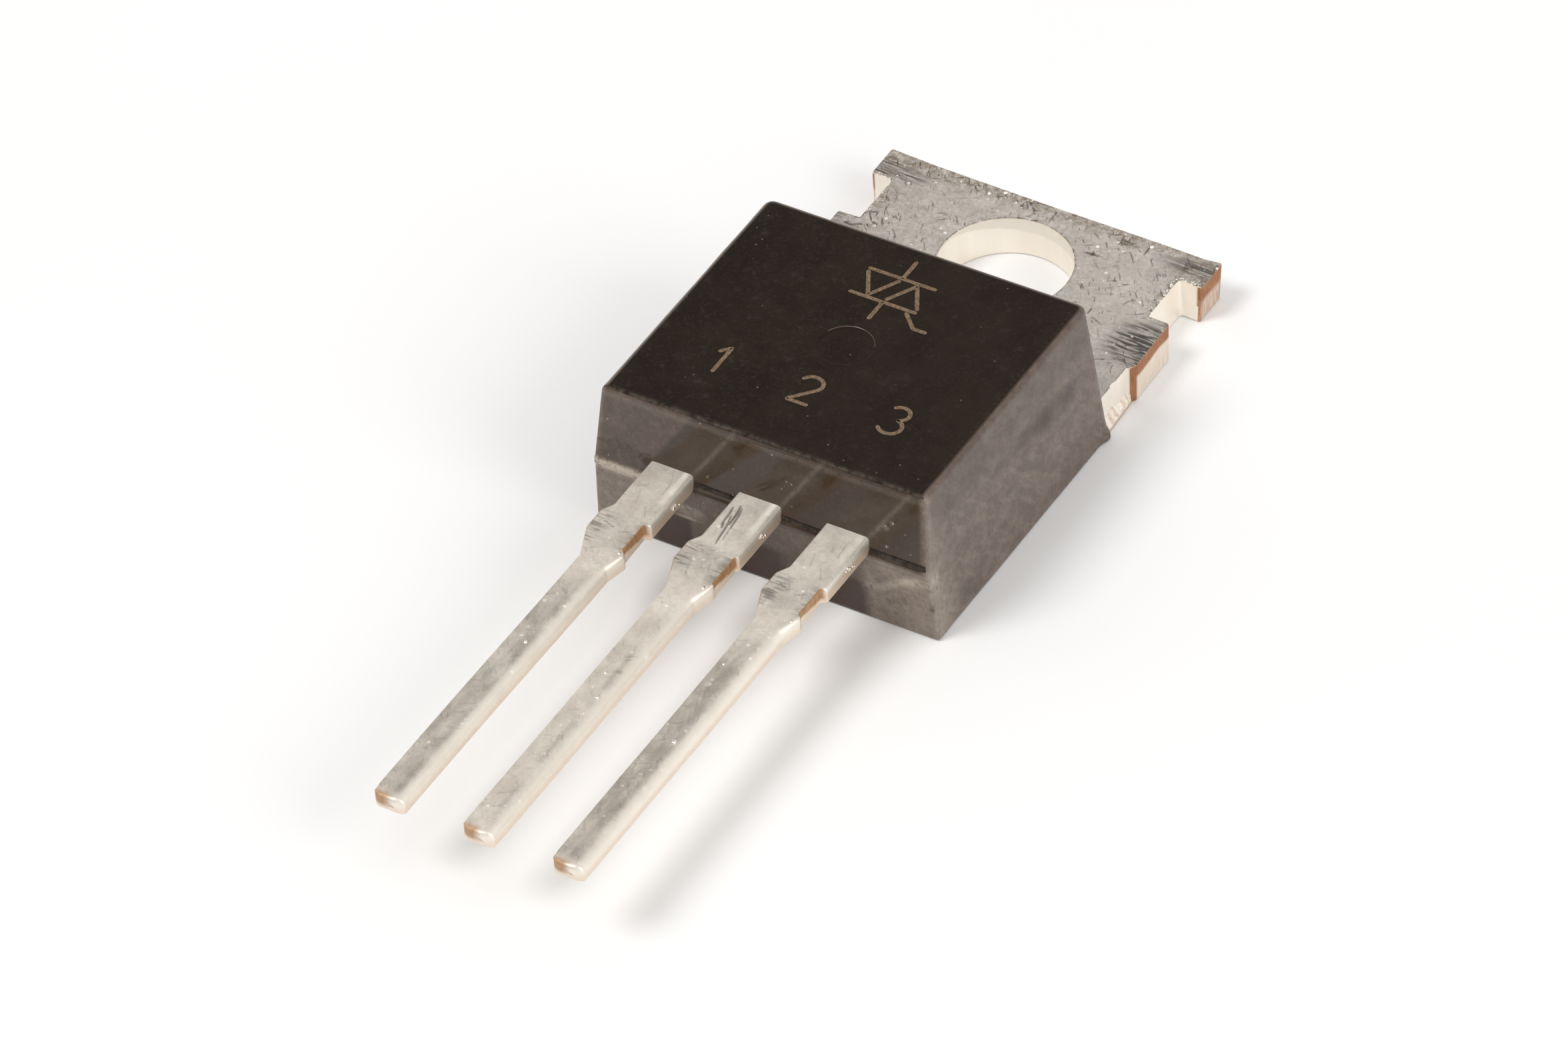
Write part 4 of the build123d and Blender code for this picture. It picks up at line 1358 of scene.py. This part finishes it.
        crease = bump_at(x, 0.12, 0.13) * self.crease_tone[lead]
        crease *= rise(ripple(y, number, 3.1, 70 + number), -0.35, 0.2)
        grime = rise(-y, 16.2, 17.6) * (crease + self.shank_grime[lead])
        grime = grime * fall(x, 0.14, 0.30) + self.shoulder_grime[lead] * shoulder
        grime = grime + self.root_grime[lead] + 0.3 * fall(y, -25.6, -25.25)
        set_attribute(piece, "dirt", np.clip(grime, 0, 1) * top)

        # Rubbed bright, with a painted highlight, along the right edge of the root's upper face.
        strip = bump_at(x, 0.42, 0.14) * self.strip_shine[lead]
        strip = strip + rise(y, -12.9, -12.3) * self.root_shine[lead]
        strip = strip * rise(y, -13.9, -13.0) * (0.75 + 0.4 * ripple(x, y, 0.5, 80 + number))
        set_attribute(piece, "burnish_and_highlight", np.clip(strip, 0, 1) * top)
        strokes = self.centre_strokes if number == 2 else self.side_strokes
        set_attribute(piece, "scratch", stroke_tone(vertices[:, :2], strokes) * top)


# ------------------------------------------------------------------ small details
def spheres(centres, radii, squash):
    """Small closed balls: points centre + radius * unit sphere, flattened along chosen axes."""
    rows, columns = 7, 10
    polar = np.linspace(0.0, np.pi, rows + 2)[1:-1, None]
    turn = turns(columns)
    unit = np.stack(np.broadcast_arrays(
        np.sin(polar) * np.cos(turn), np.sin(polar) * np.sin(turn), np.cos(polar)), -1)
    unit = np.concatenate([unit.reshape(-1, 3), [[0, 0, 1], [0, 0, -1]]])
    per = len(unit)
    vertices = centres[:, None] + radii[:, None, None] * unit * squash
    i = np.arange(columns)
    j = (i + 1) % columns
    low = (rows - 1) * columns
    quads = np.array(tube_faces(rows, columns))[:, ::-1]
    north = np.stack([i, j, np.full(columns, per - 2)], -1)
    south = np.stack([low + j, low + i, np.full(columns, per - 1)], -1)
    shift = (np.arange(len(centres)) * per)[:, None, None]
    faces = []
    for part in (quads, north, south):
        faces += (part[None] + shift).reshape(-1, part.shape[1]).tolist()
    return vertices.reshape(-1, 3), faces


class AddBeads(bpy.types.Operator):
    """Adds beads of tin at the leads, burrs along the notches and specks of resin"""

    bl_idname = "triac.add_beads"
    bl_label = "Beads and specks"

    # Single beads on the leads' upper faces: (x, y, radius).
    shank_beads = (
        (-2.45, -19.35, 0.080), (0.16, -20.25, 0.085), (-0.12, -19.40, 0.060),
        (2.66, -20.75, 0.090), (2.30, -17.80, 0.055), (-2.09, -15.52, 0.060),
        (0.42, -15.66, 0.075), (2.99, -15.72, 0.060),
    )
    # Specks of resin on the front wall: (x, z, radius).
    nibs = (
        (3.81, 3.42, 0.036), (3.66, 2.69, 0.032), (-1.54, 2.86, 0.020), (-0.79, 3.37, 0.024),
        (-1.82, 1.87, 0.036), (-0.78, 2.61, 0.020), (3.60, 3.28, 0.025), (-1.66, 2.02, 0.022),
        (-1.50, 2.93, 0.016), (-2.02, 1.58, 0.022), (-1.78, 1.44, 0.018), (-4.42, 2.50, 0.020),
        (-1.36, 1.70, 0.016), (0.92, 2.88, 0.018), (4.10, 0.62, 0.016),
    )
    # The notches in the tab: (side, x of the inner wall, y of the rear wall, number of burrs).
    notches = ((1, 4.31, 1.50, 30), (-1, 4.27, 1.58, 12))
    root_y = -13.12
    root_count = 11
    hole_count = 12
    burr_z = 1.185
    hole_burr_z = 1.19
    bead_shape = (0.7, 1.1, 0.85)
    nib_shape = (1.0, 0.6, 1.2)

    def execute(self, context):
        rng = np.random.default_rng(context.scene.triac_stage.seed)
        pitch = context.scene.triac_leads.pitch / MM
        places, sizes = [], []

        def add(x, y, z, radii):
            """Keeps a row of beads; x, y and z are single numbers or one for each bead."""
            places.append(np.stack(np.broadcast_arrays(x, y, z, radii)[:3], -1))
            sizes.append(radii)

        for centre in (-pitch, 0.0, pitch):
            y = self.root_y + rng.normal(0, 0.12, self.root_count)
            z = LEAD_TOP - 0.24 + rng.normal(0, 0.045, self.root_count) - 0.15 * (y - self.root_y)
            add(centre + 0.625, y, z, rng.uniform(0.02, 0.05, self.root_count))
        for side, inner, rear, count in self.notches:
            along = rng.uniform(0.0, 1.5, count)
            off = np.abs(rng.normal(0, 0.07, count))
            add(side * (inner - off), along, self.burr_z, rng.uniform(0.014, 0.038, count))
            across = rng.uniform(inner, 4.9, count)
            off = np.abs(rng.normal(0, 0.05, count))
            add(side * across, rear + off, self.burr_z, rng.uniform(0.014, 0.038, count))
        turn = rng.uniform(0.4 * np.pi, 1.0 * np.pi, self.hole_count)
        reach = 1.83 + np.abs(rng.normal(0, 0.02, self.hole_count))
        add(reach * np.cos(turn), reach * np.sin(turn), self.hole_burr_z,
            rng.uniform(0.008, 0.022, self.hole_count))
        x, y, radii = np.array(self.shank_beads).T
        add(x, y, LEAD_TOP - 0.02, radii)
        vertices, faces = spheres(np.concatenate(places), np.concatenate(sizes), self.bead_shape)
        tin = context.scene.triac_tab.tin_colour
        material = clouded_metal("bright_tin", (0.05, 2, 0.5), (toned(tin, 1.15), Tone.fresh_tin),
                                 0.20, (0.03, 2, 0.5), 0.003)
        new_piece("tin_beads", vertices, faces, [material])

        x, z, radii = np.array(self.nibs).T
        y = np.interp(z, AddBody.front_heights, AddBody.front_places)
        vertices, faces = spheres(np.column_stack([x, y, z]), radii, self.nib_shape)
        epoxy = bpy.data.materials["epoxy_drafted_faces"]
        piece = new_piece("resin_nibs", vertices, faces, [epoxy])
        # Painted highlight: the nibs are painted pale and grey in place of their glints.
        for name, value in (("eroded_and_painted_light", 0.6), ("wear_and_painted_light", 0.50), ("soot_and_shade", 0.0)):
            set_attribute(piece, name, np.full(len(vertices), value))
        return {"FINISHED"}


class AddMarks(bpy.types.Operator):
    """Adds the engraved marks: plain pin numbers and the circuit symbol of a triac"""

    bl_idname = "triac.add_marks"
    bl_label = "Marks"

    digit_height = 1.02
    digit_foot = -10.22     # y of the digits' foot
    symbol_centre = (0.0, -5.45)
    # Straight runs of the circuit symbol, from its centre.
    symbol = (
        ((0, 1.25), (0, 0.5)), ((0, -0.5), (0, -1.25)),
        ((-1.0, 0.5), (1.0, 0.5)), ((-1.0, -0.5), (1.0, -0.5)),
        ((-0.95, 0.42), (-0.48, -0.42), (-0.01, 0.42)),
        ((0.01, -0.42), (0.48, 0.42), (0.95, -0.42)),
        ((0.72, -0.58), (1.2, -1.05), (1.6, -1.05)),
    )

    def arc(self, centre, radii, start, end):
        """Points on an ellipse's arc from one angle to another, in degrees."""
        a = np.radians(np.linspace(start, end, 18))
        return np.stack([centre[0] + radii[0] * np.cos(a), centre[1] + radii[1] * np.sin(a)], -1)

    def digit(self, number):
        """The line of a plain digit one unit high, with its foot's middle at the origin."""
        if number == 1:
            return np.array([(-0.19, 0.74), (0.06, 1.0), (0.06, 0.0)])
        if number == 2:
            bow = self.arc((0, 0.74), (0.30, 0.26), 170, -38)
            return np.concatenate([bow, [(-0.30, 0.0), (0.32, 0.0)]])
        upper = self.arc((0, 0.76), (0.26, 0.24), 155, -82)
        lower = self.arc((0, 0.26), (0.31, 0.27), 82, -158)
        return np.concatenate([upper, lower])

    def ribbon(self, line, width, top):
        """A flat stroke: a low box section carried along the line, with tapered round ends."""
        step, sunk, chamfer = 0.03, 0.02, 0.002
        lengths = np.linalg.norm(np.diff(line, axis=0), axis=1)
        total = np.concatenate([[0], np.cumsum(lengths)])
        s = np.linspace(0, total[-1], max(8, int(total[-1] / step)))
        path = np.stack([np.interp(s, total, line[:, k]) for k in (0, 1)], -1)
        tangent = np.gradient(path, axis=0)
        tangent /= np.linalg.norm(tangent, axis=1)[:, None]
        side = np.stack([-tangent[:, 1], tangent[:, 0]], -1)
        half = width / 2
        ends = np.minimum(s, total[-1] - s)
        taper = np.sqrt(np.clip(1 - np.clip(1 - ends / half, 0, 1) ** 2, 0.02, 1))
        rough = 1 + 0.07 * ripple(path[:, 0], path[:, 1], 0.21, 71)
        w = (half * taper * rough)[:, None]
        low, shoulder = top - sunk, top - chamfer
        section = (
            (-1.0, low), (1.0, low), (1.0, shoulder), (0.7, top), (-0.7, top), (-1.0, shoulder))
        rings = np.stack([
            np.column_stack([path + side * w * k, np.full(len(path), z)]) for k, z in section], 1)
        around = len(section)
        last = (len(rings) - 1) * around
        faces = tube_faces(len(rings), around)
        faces += [list(range(around))[::-1], [last + k for k in range(around)]]
        return rings.reshape(-1, 3), faces

    def execute(self, context):
        settings = context.scene.triac_marks
        width = settings.stroke / MM
        pitch = context.scene.triac_leads.pitch / MM
        lines = [self.digit(number) * self.digit_height + ((number - 2) * pitch, self.digit_foot)
                 for number in (1, 2, 3)]
        lines += [np.array(run) + self.symbol_centre for run in self.symbol]
        vertices, faces, first = [], [], 0
        for line in lines:
            made, made_faces = self.ribbon(line, width, BODY_HIGH[2])
            vertices.append(made)
            faces += [[k + first for k in face] for face in made_faces]
            first += len(made)
        material = mark_material(settings)
        piece = new_piece("pin_marks", np.concatenate(vertices), faces, [material])
        piece.data.polygons.foreach_set("use_smooth", np.zeros(len(piece.data.polygons), bool))
        return {"FINISHED"}


class FinishInside(bpy.types.Operator):
    """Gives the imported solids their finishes: chip, solder, bond wires and the hidden outer ones"""

    bl_idname = "triac.finish_inside"
    bl_label = "Inner pieces"

    def execute(self, context):
        materials = bpy.data.materials
        lead = materials["tinned_lead"]
        finishes = {
            "triac_die": clouded_metal(
                "silicon_chip", (0.8, 2, 0.5), Tone.silicon, 0.25, (0.1, 2, 0.5), 0.001,
                metallic=0.3),
            "die_attach_solder": clouded_metal(
                "soft_solder", (0.4, 3, 0.6), Tone.solder, 0.45, (0.1, 2, 0.6), 0.004),
            "moulded_body": materials["epoxy_drafted_faces"],
            "heatsink_tab": materials["tinned_tab"],
            "main_terminal_1_lead": lead,
            "gate_lead": lead,
        }
        wire = wire_material()
        for name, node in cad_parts.items():
            node.data.materials.clear()
            node.data.materials.append(finishes.get(name, wire))
        return {"FINISHED"}


# ------------------------------------------------------------------ stage
class AddStage(bpy.types.Operator):
    """Adds the floor, the lamps, the sky and the camera"""

    bl_idname = "triac.add_stage"
    bl_label = "Stage"

    azimuth: FloatProperty(name="Azimuth", subtype="ANGLE", default=np.radians(33.47))
    elevation: FloatProperty(name="Elevation", subtype="ANGLE", default=np.radians(41.91))
    roll: FloatProperty(name="Roll", subtype="ANGLE", default=np.radians(-4.23))
    distance: FloatProperty(name="Distance", unit="LENGTH", default=0.2511)

    # Places and sizes of the stage are in metres.
    middle = (BODY_LOW[1] - 4) * MM     # y of the part's middle
    floor_drop = 0.00002                # keeps the floor just clear of the seat
    aim_height = 0.002
    # Each lamp: (name, power in watts, size, place from the part's middle, colour).
    lamps = (
        ("key", 4.3, 0.40, (-0.35, -0.45, 0.82), (1.0, 0.975, 0.94)),
        ("fill", 1.5, 0.40, (0.62, -0.10, 0.42), (1.0, 0.97, 0.93)),
    )
    sky_colour = (1.0, 0.975, 0.94, 1)
    sky_fade_height = 0.62              # z of the direction where the overhead strength begins
    front_left = (-0.45, -0.82, 0.36)   # toward the darker patch of the sky
    front_patch = (0.74, 0.94)          # soft edge of that patch, as dot products
    camera_target = (0, -0.010, 0.002)
    camera_shift = (-0.00056, -0.00132)     # of the target, to the right and up

    def add_floor(self, scene, size):
        half = size / 2
        low, high = self.middle - half, self.middle + half
        corners = [(-half, low), (half, low), (half, high), (-half, high)]
        mesh = bpy.data.meshes.new("floor")
        mesh.from_pydata([(x, y, -self.floor_drop) for x, y in corners], [], [(0, 1, 2, 3)])
        mesh.materials.append(paper_material())
        floor = bpy.data.objects.new("floor", mesh)
        scene.collection.objects.link(floor)

    def add_lamp(self, scene, name, energy, size, place, colour):
        data = bpy.data.lights.new(name, "AREA")
        data.energy, data.shape, data.size, data.color = energy, "DISK", size, colour
        lamp = bpy.data.objects.new(name, data)
        lamp.location = Vector(place) + Vector((0, self.middle, 0))
        aim = Vector((0, self.middle, self.aim_height)) - lamp.location
        lamp.rotation_euler = aim.to_track_quat("-Z", "Y").to_euler()
        scene.collection.objects.link(lamp)

    def add_sky(self, scene, settings):
        """A sky that fades from horizon to overhead, times its share at the front left."""
        sky = bpy.data.worlds.new("sky")
        sky.use_nodes = True
        nodes, links = sky.node_tree.nodes, sky.node_tree.links

        def remap(value, kind, low, high, start, end):
            """A Map Range node from low..high to start..end, fed by a socket."""
            made = nodes.new("ShaderNodeMapRange")
            made.interpolation_type = kind
            for key, number in zip(("From Min", "From Max", "To Min", "To Max"),
                                   (low, high, start, end)):
                made.inputs[key].default_value = number
            links.new(value, made.inputs["Value"])
            return made.outputs["Result"]

        direction = nodes.new("ShaderNodeTexCoord").outputs["Generated"]
        split = nodes.new("ShaderNodeSeparateXYZ")
        links.new(direction, split.inputs[0])
        fade = remap(split.outputs["Z"], "LINEAR", 0, self.sky_fade_height,
                     settings.horizon_strength, settings.world_strength)
        toward = nodes.new("ShaderNodeVectorMath")
        toward.operation = "DOT_PRODUCT"
        toward.inputs[1].default_value = self.front_left
        links.new(direction, toward.inputs[0])
        patch = remap(toward.outputs["Value"], "SMOOTHSTEP", *self.front_patch,
                      1.0, settings.front_share)
        strength = nodes.new("ShaderNodeMath")
        strength.operation = "MULTIPLY"
        links.new(fade, strength.inputs[0])
        links.new(patch, strength.inputs[1])
        background = nodes["Background"].inputs
        links.new(strength.outputs["Value"], background["Strength"])
        background["Color"].default_value = self.sky_colour
        scene.world = sky

    def add_camera(self, scene, focal_length):
        """A camera on a sphere round its target, turned about its own axis by the roll."""
        azimuth, elevation, roll = self.azimuth, self.elevation, self.roll
        back = np.array([np.sin(azimuth) * np.cos(elevation),
                         -np.cos(azimuth) * np.cos(elevation), np.sin(elevation)])
        level = np.array([np.cos(azimuth), np.sin(azimuth), 0])
        above = np.cross(back, level)
        right = np.cos(roll) * level + np.sin(roll) * above
        up = -np.sin(roll) * level + np.cos(roll) * above
        aside, upward = self.camera_shift
        target = np.array(self.camera_target) + aside * right + upward * up
        data = bpy.data.cameras.new("camera")
        data.lens, data.sensor_width = focal_length, 36
        data.clip_start, data.clip_end = 0.01, 10
        camera = bpy.data.objects.new("camera", data)
        camera.matrix_world = Matrix.LocRotScale(
            Vector(target + back * self.distance),
            Matrix(np.stack([right, up, back], 1).tolist()), None)
        scene.collection.objects.link(camera)
        scene.camera = camera

    def execute(self, context):
        scene = context.scene
        settings = scene.triac_stage
        self.add_floor(scene, settings.floor_size)
        self.add_sky(scene, settings)
        for lamp in self.lamps:
            self.add_lamp(scene, *lamp)
        self.add_camera(scene, settings.focal_length)
        scene.view_settings.view_transform = "Standard"
        return {"FINISHED"}


# ------------------------------------------------------------------ panel and registration
class TriacPanel(bpy.types.Panel):
    """Lists the settings and the steps that make the part"""

    bl_idname = "VIEW3D_PT_triac"
    bl_label = "Triac"
    bl_space_type = "VIEW_3D"
    bl_region_type = "UI"
    bl_category = "Triac"

    def draw(self, context):
        for group in SETTINGS:
            box = self.layout.box()
            settings = getattr(context.scene, group)
            for name in settings.__annotations__:
                box.prop(settings, name)
        for operator in OPERATORS:
            self.layout.operator(operator.bl_idname)


SETTINGS = {
    "triac_body": BodySettings,
    "triac_tab": TabSettings,
    "triac_leads": LeadSettings,
    "triac_marks": MarkSettings,
    "triac_stage": StageSettings,
}
OPERATORS = (AddBody, AddTab, AddLeads, AddBeads, AddMarks, FinishInside, AddStage)


def register():
    for cls in (*SETTINGS.values(), *OPERATORS, TriacPanel):
        bpy.utils.register_class(cls)
    for name, cls in SETTINGS.items():
        setattr(bpy.types.Scene, name, PointerProperty(type=cls))


def unregister():
    for name in SETTINGS:
        delattr(bpy.types.Scene, name)
    for cls in reversed((*SETTINGS.values(), *OPERATORS, TriacPanel)):
        bpy.utils.unregister_class(cls)


def main():
    register()
    bpy.ops.triac.add_body()
    bpy.ops.triac.add_tab()
    bpy.ops.triac.add_leads()
    bpy.ops.triac.add_beads()
    bpy.ops.triac.add_marks()
    bpy.ops.triac.finish_inside()
    bpy.ops.triac.add_stage()


if __name__ == "__main__":
    main()
